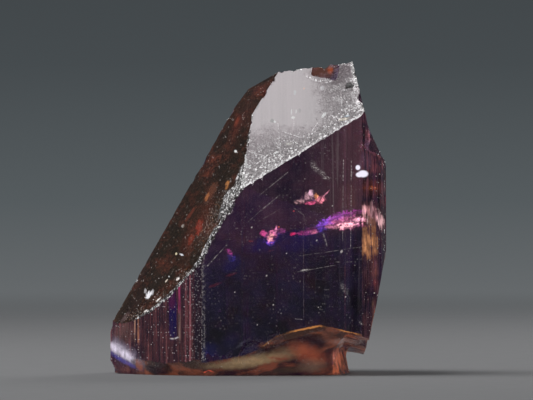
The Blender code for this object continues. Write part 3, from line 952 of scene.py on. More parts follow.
def front_finish(shade, x, y, z):
    """Glossy dark violet prism face with upright growth lines, painted deep lights and glints, and
    scratches that also give off painted sheen.
    """
    (x0, z0), (x1, z1) = FIELD_LINE
    above = z - (z0 + (x - x0) * ((z1 - z0) / (x1 - x0)))
    upper = above.step(-0.7, 0.6)
    flat = shade.vector(x, z)
    mottle = shade.noise(flat, 0.8, 5.0, 0.65)
    lines = shade.noise(shade.vector(x * 12.0, z * 0.22), 1.0, 3.0, 0.6)
    deep = shade.ramp(mottle, (0.38, rgb(0.002, 0.002, 0.002)), (0.60, rgb(0.006, 0.005, 0.015)))
    haze = shade.ramp(mottle, (0.38, rgb(0.009, 0.004, 0.011)), (0.62, rgb(0.026, 0.012, 0.020)))
    warm = shade.blend(haze, rgb(0.056, 0.023, 0.029), 0.75 * x.step(2.0, 4.7))
    glow = shade.blend(deep, warm, upper)
    ragged = 2.2 * (shade.noise(flat, 1.6, 4.0, 0.65) - 0.5)
    # Painted deep light and shade, then painted small lights, over the glow
    glow = shade.painted(glow, FRONT_CLOUDS, x, z, ragged, -0.6)
    glow = shade.scaled(glow, 0.40 + 1.2 * lines)
    ragged = 2.4 * (shade.noise(flat, 5.0, 3.0, 0.6) - 0.5) + 1.6 * (lines - 0.5)
    glow = shade.painted(glow, FRONT_LIGHTS, x, z, ragged, 0.0)
    scratch = 0.0
    for start, end, width, strength in SCRATCHES:
        scratch = strength * shade.stroke(x, z, start, end, width) + scratch
    worn = shade.noise(flat, 9.0, 3.0, 0.7)
    scratch = scratch * (0.05 + 0.95 * worn.step(0.40, 0.62))
    rubbed = 0.0
    for middle, half_x, half_z, slope, strength in RUBS:
        rubbed = strength * shade.oval(x, z, middle, half_x, half_z, slope, 0.0, 0.0) + rubbed
    rubbed = rubbed * (0.10 + shade.noise(flat, 15.0, 2.0, 0.6).step(0.48, 0.62))
    for middle, half in GRAINS:
        rubbed = (0.9 * shade.oval(x, z, middle, half, half, 0.3, 0.0, 0.2)).most(rubbed)
    sparse = shade.noise(flat, 1.1, 2.0).step(0.46, 0.66)
    dust = shade.specks(flat, 0.12, 0.26, 0.34, "2D") * (0.05 + 0.18 * sparse)
    dust = dust.most(0.5 * sparse * shade.specks(flat, 0.34, 0.10, 0.12, "2D"))
    dust = dust * worn.step(0.36, 0.54)
    hairs = shade.noise(shade.vector(x * 12.0, z * 0.16, 5.0), 1.0, 2.0).step(0.58, 0.72)
    hairs = hairs * x.step(2.6, 3.8) * z.step(2.0, 6.0)
    left = x.step(-1.76, -1.93) * (worn + 0.4 * lines).step(0.66, 0.84)
    marks = scratch.most(rubbed).most(dust).most(0.16 * hairs).most(0.5 * left)
    below = z - x.profile(ARCH_RIM) + 0.10 * (worn - 0.5)
    # Painted gold light along the lower edge of the front face
    rim = below.size().step(0.06, 0.01)
    rim = rim * (0.15 + 1.1 * mottle.step(0.40, 0.58)) * (0.3 + 0.7 * x.step(0.8, 2.6))
    # Painted brown glow below the edge; scratches, rubs and dust give off painted sheen
    glow = shade.blend(glow, ARCH_BROWN, below.step(0.02, -0.05))
    glow = shade.blend(glow, DUST_AND_SHEEN, 0.85 * marks)
    glow = shade.blend(glow, RIM_GOLD_LIGHT, rim)
    # Painted highlights: the white glints near the right corner
    glow = shade.blend(glow, GLINT, shade.glinting(x, z))
    # Painted shade in the long hollow darkens the base colour
    dark = shade.oval(x, z, *SHADED_HOLLOW, 0.0, 0.0, 0.0)
    clear = shade.blend(rgb(0.92, 0.86, 0.96), rgb(0.25, 0.20, 0.26), 0.9 * dark)
    colour = shade.blend(clear, rgb(0.70, 0.66, 0.66), marks)
    rough = 0.03 + 0.03 * lines + 0.40 * marks
    height = 0.25 * lines + 0.5 * marks
    return colour, glow, rough, height


# Flaws of the silver face: middle, half sizes, slope, colour, strength
SILVER_FLAWS = (
    ((4.10, 13.05), 0.60, 0.50, 0.5, rgb(0.180, 0.130, 0.150), 0.85),
    ((4.42, 12.54), 0.24, 0.17, 0.2, rgb(0.010, 0.003, 0.002), 1.00),
    ((4.48, 12.52), 0.14, 0.12, 0.0, rgb(0.004, 0.001, 0.001), 1.00),
    ((1.06, 11.02), 0.11, 0.10, 0.0, rgb(0.120, 0.110, 0.110), 0.80),
    ((2.26, 11.45), 0.08, 0.12, 0.0, rgb(0.160, 0.140, 0.145), 0.50),
    ((0.15, 11.15), 0.10, 0.16, 0.8, rgb(0.080, 0.050, 0.045), 0.80),
    ((0.05, 10.70), 0.06, 0.10, 0.0, rgb(0.080, 0.050, 0.045), 0.70),
    ((0.42, 11.65), 0.10, 0.14, 0.8, rgb(0.250, 0.240, 0.250), 0.70),
    ((2.45, 12.42), 0.05, 0.05, 0.0, rgb(0.900, 0.500, 0.300), 0.80),
    ((2.05, 12.25), 0.07, 0.13, 0.0, rgb(0.560, 0.560, 0.590), 0.80),
    ((1.18, 10.97), 0.06, 0.06, 0.0, rgb(1.000, 1.000, 1.000), 1.00),
    ((1.98, 11.15), 0.09, 0.07, 0.0, rgb(1.000, 0.980, 0.980), 0.90),
    ((1.90, 11.40), 0.03, 0.14, 0.5, rgb(0.900, 0.880, 0.880), 0.80),
    ((2.10, 11.42), 0.03, 0.12, 0.5, rgb(0.900, 0.880, 0.880), 0.80),
    ((3.30, 11.26), 0.12, 0.10, 0.8, rgb(1.000, 1.000, 1.000), 1.00),
    ((3.24, 12.44), 0.11, 0.13, 0.0, rgb(0.950, 0.920, 0.960), 0.70),
    ((4.16, 11.06), 0.26, 0.07, 0.2, rgb(1.000, 0.900, 0.780), 1.00),
    ((4.30, 11.20), 0.14, 0.05, 0.2, rgb(0.800, 0.900, 1.000), 1.00),
    ((1.78, 10.00), 0.16, 0.07, 0.1, rgb(1.000, 0.950, 0.900), 0.95),
    ((1.22, 9.62), 0.09, 0.06, 0.5, rgb(1.000, 1.000, 1.000), 0.95),
    ((0.02, 10.16), 0.11, 0.12, 0.0, rgb(1.000, 1.000, 1.000), 0.80),
    ((-0.06, 9.15), 0.05, 0.28, 0.0, rgb(1.000, 1.000, 1.000), 0.90),
    ((0.06, 9.02), 0.12, 0.07, 0.3, rgb(1.000, 1.000, 1.000), 0.80),
)

# Long etched scratches of the silver face
SILVER_LINES = (
    ((3.45, 11.30), (4.10, 11.02), 0.040), ((2.60, 10.30), (3.10, 11.00), 0.024),
    ((2.00, 11.10), (2.02, 10.55), 0.022), ((3.35, 11.15), (3.35, 10.60), 0.022),
    ((1.35, 10.60), (2.35, 10.25), 0.024), ((1.30, 11.00), (1.42, 9.90), 0.020),
    ((0.00, 9.70), (1.10, 9.35), 0.024), ((3.90, 12.10), (4.40, 11.85), 0.024),
    ((4.05, 11.95), (4.10, 11.35), 0.022), ((4.20, 11.30), (4.62, 11.55), 0.028),
)

# Sparkling lower edge of the brown facet in the top ridge
FACET_EDGE = (
    (2.56, 12.98), (2.90, 12.80), (3.50, 12.70), (3.84, 12.86), (4.04, 13.16), (4.22, 13.36),
)


def silver_finish(shade, x, y, z):
    """Silvery termination, smooth at the upper left, coarsely etched to the right and below."""
    flow = shade.vector(x, y, z)
    flat = shade.vector(x, z)
    wander = 0.9 * (shade.noise(flow, 1.5, 3.0, 0.6) - 0.5)
    behind = y - LEAN * z
    low = (z + 1.3 * wander).step(11.10, 9.80).most(behind.step(0.70, 0.25))
    aslant = x + 0.25 * (z - 12.0)
    right = (aslant + 1.3 * wander).step(2.5, 4.1)
    coarse = low.most(right)
    bands = shade.noise(shade.vector(x * 4.5, z * 0.15), 1.0, 3.0, 0.6)
    fibres = shade.veins(shade.vector(x * 9.0, z * 4.6), 1.0, 0.040, 0.8, 4.0)
    sloping = shade.vector((x + 0.8 * z) * 7.0, (z - 0.8 * x) * 3.2, 4.0)
    fibres = (0.80 * fibres).most(0.70 * shade.veins(sloping, 1.0, 0.036, 0.8, 4.0))
    fibres = fibres * shade.noise(flat, 3.4, 3.0, 0.65).step(0.34, 0.60)
    grain = shade.cells(flow, 0.055)
    grit = shade.noise(flat, 13.0, 2.0, 0.7)
    sparks = grain.step(0.90, 0.94) * (0.3 + 0.8 * behind.step(1.3, 0.2))
    lines = 0.0
    for start, end, width in SILVER_LINES:
        lines = shade.stroke(x, z, start, end, width).most(lines)
    lines = 0.9 * lines * grit.step(0.36, 0.56)
    rim = behind.step(0.13, 0.05) * (0.20 + grain.step(0.40, 0.80))
    facet = shade.path(x, z, FACET_EDGE, 0.085) * grit.step(0.40, 0.60)
    corner = aslant.step(4.35, 4.80) * grain.step(0.45, 0.80)
    etched = coarse * coarse
    marks = (coarse * (fibres + sparks)).most(lines).most(0.85 * rim).most(facet).most(corner)
    pale = shade.blend(rgb(0.48, 0.385, 0.418), rgb(0.27, 0.205, 0.225), x.step(1.6, 4.2))
    pale = shade.scaled(pale, 0.70 + 0.50 * bands + 0.20 * (grit - 0.5))
    etch = shade.ramp(grit, (0.38, rgb(0.120, 0.095, 0.104)), (0.62, rgb(0.66, 0.575, 0.600)))
    ground = shade.blend(pale, etch, etched * behind.step(1.6, 0.2).most(0.70 * right))
    flecks = shade.noise(flow, 10.0, 1.0, 0.4).step(0.79, 0.84)
    colour = shade.blend(ground, rgb(1.0, 0.97, 0.98), marks.most(flecks))
    ragged = 1.6 * (shade.noise(flow, 9.0, 2.0, 0.6) - 0.5)
    colour = shade.painted(colour, SILVER_FLAWS, x, z, ragged)
    # The marks and flecks give off painted sparkle
    glow = shade.scaled(colour, 0.015 + 0.55 * marks + 0.3 * flecks)
    rough = 0.40 + 0.16 * etched
    height = etched * (marks + 0.5 * grit) + 0.6 * flecks + 0.12 * bands + 0.5 * marks
    return colour, glow, rough, height


def crushed_finish(shade, x, y, z):
    """Crushed edges: chalky grey with glassy white grains, which also give off painted sparkle, and
    a few dark ones.
    """
    flow = shade.vector(x, y, z)
    fine = shade.cells(flow, 0.050)
    wide = shade.cells(flow, 0.120)
    tone = shade.noise(flow, 6.0, 3.0, 0.65)
    share = 0.60 * fine + 0.20 * wide + 0.2 * tone
    colour = shade.ramp(
        share,
        (0.20, rgb(0.016, 0.012, 0.011)), (0.38, rgb(0.085, 0.070, 0.066)),
        (0.56, rgb(0.30, 0.275, 0.275)), (0.74, rgb(1.0, 0.98, 0.98)),
    )
    glow = shade.scaled(colour, 0.05 + 0.50 * share.step(0.56, 0.78))
    return colour, glow, 0.20 + 0.25 * tone, fine + 0.8 * wide


# Soft clouds of painted light in the slanting face: middle, half sizes, slope, colour, strength
SLANT_CLOUDS = (
    ((0.10, 11.60), 0.50, 0.70, 1.5, rgb(0.055, 0.018, 0.012), 0.80),
    ((-0.50, 10.70), 0.50, 0.60, 1.6, rgb(0.075, 0.018, 0.011), 0.80),
    ((-1.20, 9.00), 0.70, 1.40, 1.6, rgb(0.009, 0.007, 0.004), 0.90),
    ((-2.30, 7.50), 0.70, 0.90, 1.4, rgb(0.010, 0.008, 0.004), 0.85),
    ((-1.90, 6.70), 0.60, 1.10, 1.5, rgb(0.085, 0.017, 0.008), 0.70),
    ((-2.60, 5.70), 0.50, 0.90, 1.3, rgb(0.070, 0.014, 0.008), 0.70),
    ((-3.30, 5.60), 0.50, 0.70, 1.3, rgb(0.010, 0.007, 0.004), 0.70),
    ((-4.10, 3.90), 0.90, 0.70, 1.0, rgb(0.016, 0.011, 0.008), 0.90),
    ((-4.90, 2.90), 0.50, 0.50, 1.0, rgb(0.016, 0.011, 0.009), 0.90),
)

# Colour spots of the slanting face, among them painted white glints
SLANT_SPOTS_AND_GLINTS = (
    ((-0.88, 8.23), 0.13, 0.20, 1.1, rgb(0.50, 0.20, 0.06), 0.80),
    ((-1.76, 7.72), 0.14, 0.22, 1.2, rgb(0.55, 0.20, 0.07), 0.85),
    ((-1.60, 7.90), 0.30, 0.34, 1.2, rgb(0.16, 0.055, 0.030), 0.50),
    ((-2.10, 6.42), 0.20, 0.36, 0.9, rgb(0.24, 0.026, 0.014), 0.75),
    ((-2.47, 5.85), 0.16, 0.28, 0.9, rgb(0.20, 0.026, 0.012), 0.60),
    ((-2.50, 6.95), 0.30, 0.14, 1.3, rgb(0.130, 0.030, 0.018), 0.65),
    ((-0.46, 11.00), 0.16, 0.22, 1.2, rgb(0.18, 0.030, 0.014), 0.70),
    ((-4.30, 3.44), 0.17, 0.18, 0.6, rgb(0.90, 0.89, 0.95), 1.00),
    ((-4.44, 3.62), 0.07, 0.12, 0.2, rgb(0.50, 0.48, 0.50), 0.80),
    ((-4.12, 3.58), 0.05, 0.14, 0.4, rgb(0.60, 0.58, 0.62), 0.80),
    ((-0.52, 9.68), 0.07, 0.07, 0.0, rgb(0.85, 0.84, 0.84), 1.00),
    ((-2.83, 6.46), 0.10, 0.10, 0.0, rgb(0.34, 0.31, 0.28), 0.80),
    ((-3.10, 5.24), 0.05, 0.06, 0.0, rgb(0.70, 0.60, 0.40), 0.90),
    ((-2.86, 5.20), 0.09, 0.05, -0.3, rgb(0.75, 0.75, 0.80), 0.90),
    ((-3.02, 4.16), 0.08, 0.07, 0.5, rgb(0.90, 0.86, 0.84), 1.00),
    ((-3.52, 4.07), 0.07, 0.05, 0.9, rgb(0.66, 0.55, 0.46), 0.90),
    ((-3.40, 4.26), 0.04, 0.04, 0.0, rgb(0.50, 0.50, 0.50), 0.90),
    ((-3.84, 3.28), 0.13, 0.05, 0.9, rgb(0.90, 0.88, 0.86), 0.95),
    ((-4.42, 2.76), 0.10, 0.05, 0.6, rgb(0.80, 0.76, 0.74), 0.90),
    ((-5.35, 2.45), 0.22, 0.16, 1.0, rgb(0.12, 0.080, 0.080), 0.60),
)

# The lower edge of the slanting face, where bright grains gather
SLANT_EDGE_HIGH = ((-0.62, 8.10), (-2.40, 5.00))
SLANT_EDGE_LOW = ((-2.40, 4.75), (-3.30, 3.65), (-4.30, 2.85), (-5.50, 2.30))


def slant_finish(shade, x, y, z):
    """Long slanting face: olive-dark and red-brown painted glow in streaks down the slope, with
    specks and painted white glints.
    """
    flow = shade.vector(x, y, z)
    down = 0.66 * x + 0.75 * z
    across = 0.75 * x - 0.66 * z + 0.5 * y
    streaks = shade.noise(shade.vector(down * 1.3, across * 5.0, y), 1.0, 4.0, 0.65)
    clouds = shade.noise(flow, 0.9, 3.0, 0.6)
    fine = shade.noise(flow, 7.0, 4.0, 0.75)
    grit = shade.noise(flow, 15.0, 2.0, 0.6)
    share = 0.42 * streaks + 0.38 * clouds + 0.20 * fine
    glow = shade.ramp(
        share,
        (0.38, rgb(0.005, 0.004, 0.002)), (0.48, rgb(0.014, 0.009, 0.005)),
        (0.55, rgb(0.040, 0.014, 0.008)), (0.64, rgb(0.090, 0.024, 0.013)),
    )
    ragged = 2.4 * (clouds - 0.5) + 2.4 * (fine - 0.5)
    glow = shade.painted(glow, SLANT_CLOUDS, x, z, ragged, -0.8)
    glow = shade.scaled(glow, 0.18 + 1.2 * (0.55 * fine + 0.45 * grit).step(0.36, 0.62))
    ragged = 2.4 * (streaks - 0.5) + 3.6 * (fine - 0.5)
    # Colour spots and painted white glints
    glow = shade.painted(glow, SLANT_SPOTS_AND_GLINTS, x, z, ragged, 0.1)
    rim = (y - LEAN * z - 0.198 * x).step(4.1, 4.75)
    glow = shade.blend(glow, rgb(0.040, 0.024, 0.014), 0.6 * rim)
    edge = shade.path(x, z, SLANT_EDGE_HIGH, 0.95)
    edge = edge.most(shade.path(x, z, SLANT_EDGE_LOW, 0.40))
    many = (grit + 0.24 * edge).step(0.83, 0.90)
    many = many.most((0.20 + 0.60 * fine.step(0.46, 0.60)) * shade.specks(flow, 0.11, 0.22, 0.36))
    many = many.most(0.45 * edge * shade.specks(flow, 0.08, 0.30, 0.38))
    tint = shade.blend(rgb(0.40, 0.17, 0.07), rgb(0.48, 0.45, 0.44), fine.step(0.44, 0.54))
    glow = shade.blend(glow, tint, 0.85 * many)
    colour = shade.blend(rgb(0.46, 0.32, 0.17), rgb(0.56, 0.25, 0.14), share.step(0.42, 0.58))
    rough = 0.08 + 0.16 * fine
    return colour, glow, rough, 0.4 * fine + 0.5 * streaks + 0.2 * grit + 0.8 * many


# The brown wall of the ridge step and the painted orange glow (ember) in it: middle, half sizes,
# slope
STEP_BROWN = ((3.20, 13.15), 0.85, 0.50, 0.2)
STEP_EMBER = ((3.60, 13.22), 0.17, 0.20, 0.0)


def rear_finish(shade, x, y, z):
    """Clear faces round the back: violet depth, brown clouds, growth lines and a few specks."""
    flow = shade.vector(x, y, z)
    clouds = shade.noise(flow, 0.55, 4.0, 0.6, 0.6)
    fine = shade.noise(flow, 7.0, 4.0, 0.7)
    lines = shade.noise(shade.vector(x * 9.0, y * 9.0, z * 0.25), 1.0, 3.0, 0.6)
    veil = shade.veins(flow, 0.5, 0.03, 0.6) * shade.noise(flow, 1.7, 3.0).step(0.50, 0.66)
    colour = shade.blend(rgb(0.90, 0.78, 0.96), rgb(0.84, 0.60, 0.56), clouds.step(0.38, 0.66))
    glow = shade.ramp(
        0.7 * clouds + 0.3 * fine,
        (0.40, rgb(0.003, 0.002, 0.006)), (0.50, rgb(0.010, 0.005, 0.012)),
        (0.60, rgb(0.050, 0.016, 0.012)),
    )
    glow = shade.blend(glow, rgb(0.07, 0.03, 0.05), 0.3 * veil)
    brown = shade.oval(x, z, *STEP_BROWN, 2.0 * (fine - 0.5), 0.0)
    wall = shade.scaled(rgb(0.060, 0.026, 0.017), 0.3 + 1.4 * fine)
    glow = shade.blend(glow, wall, 0.9 * brown)
    colour = shade.blend(colour, rgb(0.20, 0.12, 0.10), 0.9 * brown)
    # Painted orange glow in the step, the ember
    ember = shade.oval(x, z, *STEP_EMBER, 2.4 * (fine - 0.5), -0.4)
    glow = shade.blend(glow, rgb(0.20, 0.042, 0.012), ember)
    specks = shade.flecks(flow, 13.0, 0.74)
    glow = shade.blend(glow, rgb(0.30, 0.27, 0.28), specks)
    rough = 0.03 + 0.06 * fine + 0.1 * veil
    return colour, glow, rough, 0.6 * lines + 0.25 * fine + specks


def peak_finish(shade, x, y, z):
    """Broken sides of the peak and the shoulder: grey-brown and splintery."""
    flow = shade.vector(x, y, z)
    splinters = shade.noise(shade.vector(x * 3.6, y * 3.6, z * 1.8), 1.0, 4.0, 0.6)
    clouds = shade.noise(flow, 1.4, 3.0, 0.6)
    specks = shade.flecks(flow, 13.0, 0.72)
    colour = shade.blend(rgb(0.80, 0.66, 0.82), rgb(0.70, 0.46, 0.44), clouds.step(0.42, 0.60))
    glow = shade.ramp(
        splinters,
        (0.40, rgb(0.005, 0.003, 0.007)), (0.54, rgb(0.014, 0.007, 0.011)),
        (0.68, rgb(0.036, 0.020, 0.024)),
    )
    glow = shade.blend(glow, rgb(0.34, 0.31, 0.31), specks)
    return colour, glow, 0.06 + 0.14 * splinters, 1.4 * splinters + 0.4 * specks


# Upright bands of painted glow in the rounded face: middle of x, half width, low and high end,
# colour, strength
CURVE_BANDS = (
    (-4.90, 0.040, 1.40, 2.60, rgb(0.240, 0.130, 0.085), 0.90),
    (-4.75, 0.030, 1.30, 2.60, rgb(0.260, 0.110, 0.060), 0.80),
    (-4.82, 0.030, 1.20, 2.80, rgb(0.004, 0.003, 0.004), 0.90),
    (-3.22, 0.20, 1.62, 3.30, rgb(0.002, 0.002, 0.036), 0.95),
    (-3.26, 0.20, 2.90, 3.75, rgb(0.040, 0.004, 0.030), 0.80),
    (-2.94, 0.060, 2.70, 4.10, rgb(0.270, 0.030, 0.090), 0.95),
    (-2.93, 0.055, 1.55, 2.80, rgb(0.170, 0.100, 0.085), 0.80),
    (-2.66, 0.050, 0.40, 4.40, rgb(0.130, 0.040, 0.045), 0.85),
    (-2.47, 0.050, 0.40, 4.40, rgb(0.190, 0.060, 0.070), 0.85),
    (-2.20, 0.060, 0.40, 4.60, rgb(0.006, 0.004, 0.008), 0.80),
)

# Painted light in the tip of the rounded face: middle, half sizes, slope, colour, strength
TIP_LIGHTS = (
    ((-5.35, 1.80), 0.62, 0.66, 0.15, rgb(0.120, 0.055, 0.045), 0.80),
    ((-5.40, 0.34), 1.10, 0.44, -0.20, rgb(0.030, 0.005, 0.011), 0.95),
    ((-5.46, 1.00), 1.15, 0.56, -0.55, rgb(0.20, 0.17, 0.23), 0.90),
    ((-5.52, 0.98), 0.90, 0.36, -0.55, rgb(0.72, 0.66, 0.80), 0.90),
    ((-5.48, 0.62), 1.05, 0.16, -0.52, rgb(0.040, 0.036, 0.24), 0.90),
)


def tip_glow(shade, glow, x, z):
    """Painted light at the left end, a milky patch, a blue fringe and a dark red lens, over the
    given glow.
    """
    stripes = shade.noise(shade.vector(x * 7.0, z * 0.9), 1.0, 3.0, 0.6)
    ragged = 2.2 * (stripes - 0.5) + 1.2 * (shade.noise(shade.vector(x, z), 3.0, 3.0) - 0.5)
    lit = shade.painted(glow, TIP_LIGHTS, x, z, ragged, -0.4)
    lit = shade.scaled(lit, 0.45 + 1.15 * stripes.step(0.34, 0.66))
    return shade.blend(glow, lit, x.step(-4.15, -4.55))


# A short bright line across the rounded face
CURVE_DASH = ((-3.34, 1.60), (-3.16, 1.58), (-2.98, 1.66))


def curve_finish(shade, x, y, z):
    """Rounded striated prism face: reddish upright lines and a blue band of painted glow, and
    painted milky light in the glassy tip.
    """
    lines = shade.noise(shade.vector(shade.run() * 9.0, z * 0.45), 1.0, 3.0, 0.7)
    hair = shade.noise(shade.vector(x * 13.0, z * 0.5, 2.0), 1.0, 2.0, 0.6)
    wide = shade.noise(shade.vector(x * 2.4, z * 0.9, 3.0), 1.0, 3.0)
    flat = shade.vector(x, z)
    fine = shade.noise(flat, 10.0, 3.0, 0.7)
    share = 0.32 * lines + 0.30 * hair + 0.22 * wide + 0.16 * fine
    glow = shade.ramp(
        share,
        (0.42, rgb(0.006, 0.003, 0.005)), (0.49, rgb(0.024, 0.009, 0.010)),
        (0.55, rgb(0.062, 0.019, 0.019)), (0.63, rgb(0.17, 0.060, 0.057)),
    )
    glow = shade.blend(glow, rgb(0.006, 0.004, 0.007), 0.85 * x.step(-2.40, -2.15))
    ragged = z + 1.2 * (fine - 0.5)
    for middle, half, low, high, tint, strength in CURVE_BANDS:
        off = (x - middle) * (1.0 / half)
        ends = ragged.step(low - 0.15, low + 0.15) * ragged.step(high + 0.2, high - 0.2)
        cover = (off * off).step(1.0, 0.25) * ends * (0.25 + 1.1 * hair.step(0.30, 0.62))
        glow = shade.blend(glow, tint, strength * cover)
    glow = tip_glow(shade, glow, x, z)
    column = x.step(-2.90, -2.45) * x.step(-1.90, -1.96)
    specks = shade.specks(flat, 0.11, 0.24, 0.26, "2D") * (0.12 + 0.8 * fine.step(0.46, 0.60))
    dots = column * (0.15 + 0.85 * fine.step(0.44, 0.60)) * 0.6
    specks = specks.most(dots * shade.specks(flat, 0.10, 0.42, 0.34, "2D"))
    specks = specks.most(x.step(-2.00, -1.96) * fine.step(0.50, 0.62) * 0.5)
    specks = specks.most(shade.path(x, z, CURVE_DASH, 0.05) * fine.step(0.36, 0.5))
    glow = shade.blend(glow, rgb(0.36, 0.33, 0.34), specks)
    colour = shade.blend(rgb(0.86, 0.70, 0.80), rgb(0.80, 0.78, 0.80), specks)
    rough = 0.05 + 0.08 * lines + 0.3 * specks
    return colour, glow, rough, 1.1 * lines + 0.4 * hair + 0.5 * specks


# Painted light inside the right corner: middle, half sizes, slope, colour, strength
RIGHT_GLOWS = (
    ((5.10, 9.25), 0.34, 0.60, -0.4, rgb(0.085, 0.042, 0.075), 0.75),
    ((5.40, 8.11), 0.60, 0.36, 0.0, rgb(0.085, 0.020, 0.012), 0.90),
    ((5.35, 8.08), 0.30, 0.10, 0.0, rgb(0.36, 0.080, 0.025), 0.90),
    ((5.44, 7.60), 0.60, 0.16, 0.0, rgb(0.014, 0.006, 0.016), 0.80),
    ((5.20, 6.72), 0.48, 0.56, 0.0, rgb(0.170, 0.075, 0.060), 0.90),
    ((5.18, 7.10), 0.46, 0.34, 0.0, rgb(0.42, 0.17, 0.18), 0.90),
    ((5.04, 7.06), 0.12, 0.40, 0.0, rgb(0.80, 0.40, 0.42), 0.90),
    ((5.37, 7.16), 0.10, 0.36, 0.0, rgb(0.74, 0.38, 0.42), 0.90),
    ((5.17, 6.68), 0.045, 0.34, 0.0, rgb(0.90, 0.72, 0.70), 0.95),
    ((5.56, 6.94), 0.16, 0.34, -0.6, rgb(0.60, 0.27, 0.30), 0.90),
    ((5.74, 6.66), 0.20, 0.44, -0.9, rgb(0.80, 0.44, 0.46), 1.00),
    ((5.27, 5.78), 0.46, 0.90, 0.0, rgb(0.52, 0.22, 0.090), 1.00),
    ((5.46, 4.60), 0.24, 0.80, 0.0, rgb(0.110, 0.036, 0.028), 0.85),
    ((5.53, 3.96), 0.16, 0.32, -0.8, rgb(0.110, 0.022, 0.022), 0.80),
    ((5.80, 4.99), 0.20, 1.20, 0.0, rgb(0.012, 0.006, 0.018), 0.85),
    ((5.42, 2.84), 0.08, 0.50, 0.0, rgb(0.110, 0.052, 0.030), 0.70),
)


def side_finish(shade, x, y, z):
    """Dark violet right corner and side, with painted warm light in upright bands at middle height
    and painted glints.
    """
    bands = shade.noise(shade.vector(shade.run() * 9.0, z * 0.25), 1.0, 3.0, 0.65)
    hair = shade.noise(shade.vector(x * 15.0, y * 6.0, z * 0.45), 1.0, 3.0, 0.6)
    flow = shade.vector(x, y, z)
    mottle = shade.noise(flow, 2.2, 4.0, 0.65)
    high = z.step(6.8, 8.4)
    low = shade.ramp(mottle, (0.38, rgb(0.005, 0.003, 0.005)), (0.62, rgb(0.024, 0.010, 0.012)))
    top = shade.ramp(mottle, (0.38, rgb(0.014, 0.007, 0.012)), (0.62, rgb(0.056, 0.018, 0.022)))
    glow = shade.blend(low, top, high)
    glow = shade.scaled(glow, 0.5 + 1.0 * bands)
    front = (y - LEAN * z).step(1.8, 1.25)
    ragged = 5.0 * (hair - 0.5) + 3.0 * (mottle - 0.5)
    lit = shade.painted(glow, RIGHT_GLOWS, x, z, ragged, -0.5)
    lit = shade.scaled(lit, 0.22 + 1.85 * hair.step(0.36, 0.62))
    glow = shade.blend(glow, lit, front)
    drift = shade.noise(shade.vector(x * 1.4, y * 1.4, z * 0.5), 1.0, 3.0, 0.6)
    behind = (1.0 - front) * z.step(2.6, 4.8) * z.step(8.8, 6.6) * drift.step(0.42, 0.62)
    embers = 0.4 * bands + 0.6 * mottle
    warm = shade.ramp(embers, (0.40, rgb(0.016, 0.007, 0.012)), (0.62, rgb(0.11, 0.040, 0.032)))
    glow = shade.blend(glow, warm, 0.5 * behind)
    # Painted highlights: the white glints near the right corner
    glow = shade.blend(glow, GLINT, front * shade.glinting(x, z))
    specks = shade.flecks(flow, 14.0, 0.72)
    glow = shade.blend(glow, rgb(0.36, 0.34, 0.30), specks)
    colour = shade.blend(rgb(0.86, 0.72, 0.84), rgb(0.88, 0.64, 0.56), mottle.step(0.42, 0.62))
    rough = 0.04 + 0.08 * hair + 0.3 * specks
    return colour, glow, rough, 0.8 * bands + 0.4 * hair + specks


# Soft painted light in the broken underside: middle, half sizes, slope, colour, strength
FOOT_CLOUDS = (
    ((-3.60, 0.50), 1.60, 0.60, 0.00, rgb(0.020, 0.011, 0.008), 0.85),
    ((-1.60, 0.45), 1.30, 0.30, 0.00, rgb(0.093, 0.056, 0.032), 0.80),
    ((0.20, 0.62), 2.20, 0.36, 0.12, rgb(0.380, 0.260, 0.135), 0.90),
    ((1.60, 0.95), 0.90, 0.40, 0.10, rgb(0.186, 0.127, 0.072), 0.70),
    ((1.70, 0.20), 1.30, 0.20, 0.10, rgb(0.062, 0.043, 0.020), 0.75),
    ((2.60, 0.95), 1.05, 0.55, -0.30, rgb(0.360, 0.085, 0.036), 0.85),
    ((2.80, 0.40), 0.80, 0.40, 0.00, rgb(0.202, 0.124, 0.080), 0.70),
    ((3.30, 1.80), 1.60, 0.34, -0.05, rgb(0.034, 0.015, 0.008), 0.85),
    ((4.10, 1.42), 0.90, 0.22, -0.10, rgb(0.248, 0.163, 0.145), 0.80),
    ((5.00, 1.60), 0.60, 0.30, 0.00, rgb(0.110, 0.066, 0.058), 0.80),
    ((3.90, 0.70), 0.50, 0.60, 0.00, rgb(0.186, 0.062, 0.035), 0.70),
)

# A thin painted red glint near the left end of the underside
FOOT_RED_GLINT = ((-1.92, 0.10), (-1.70, 0.24), (-1.45, 0.16))


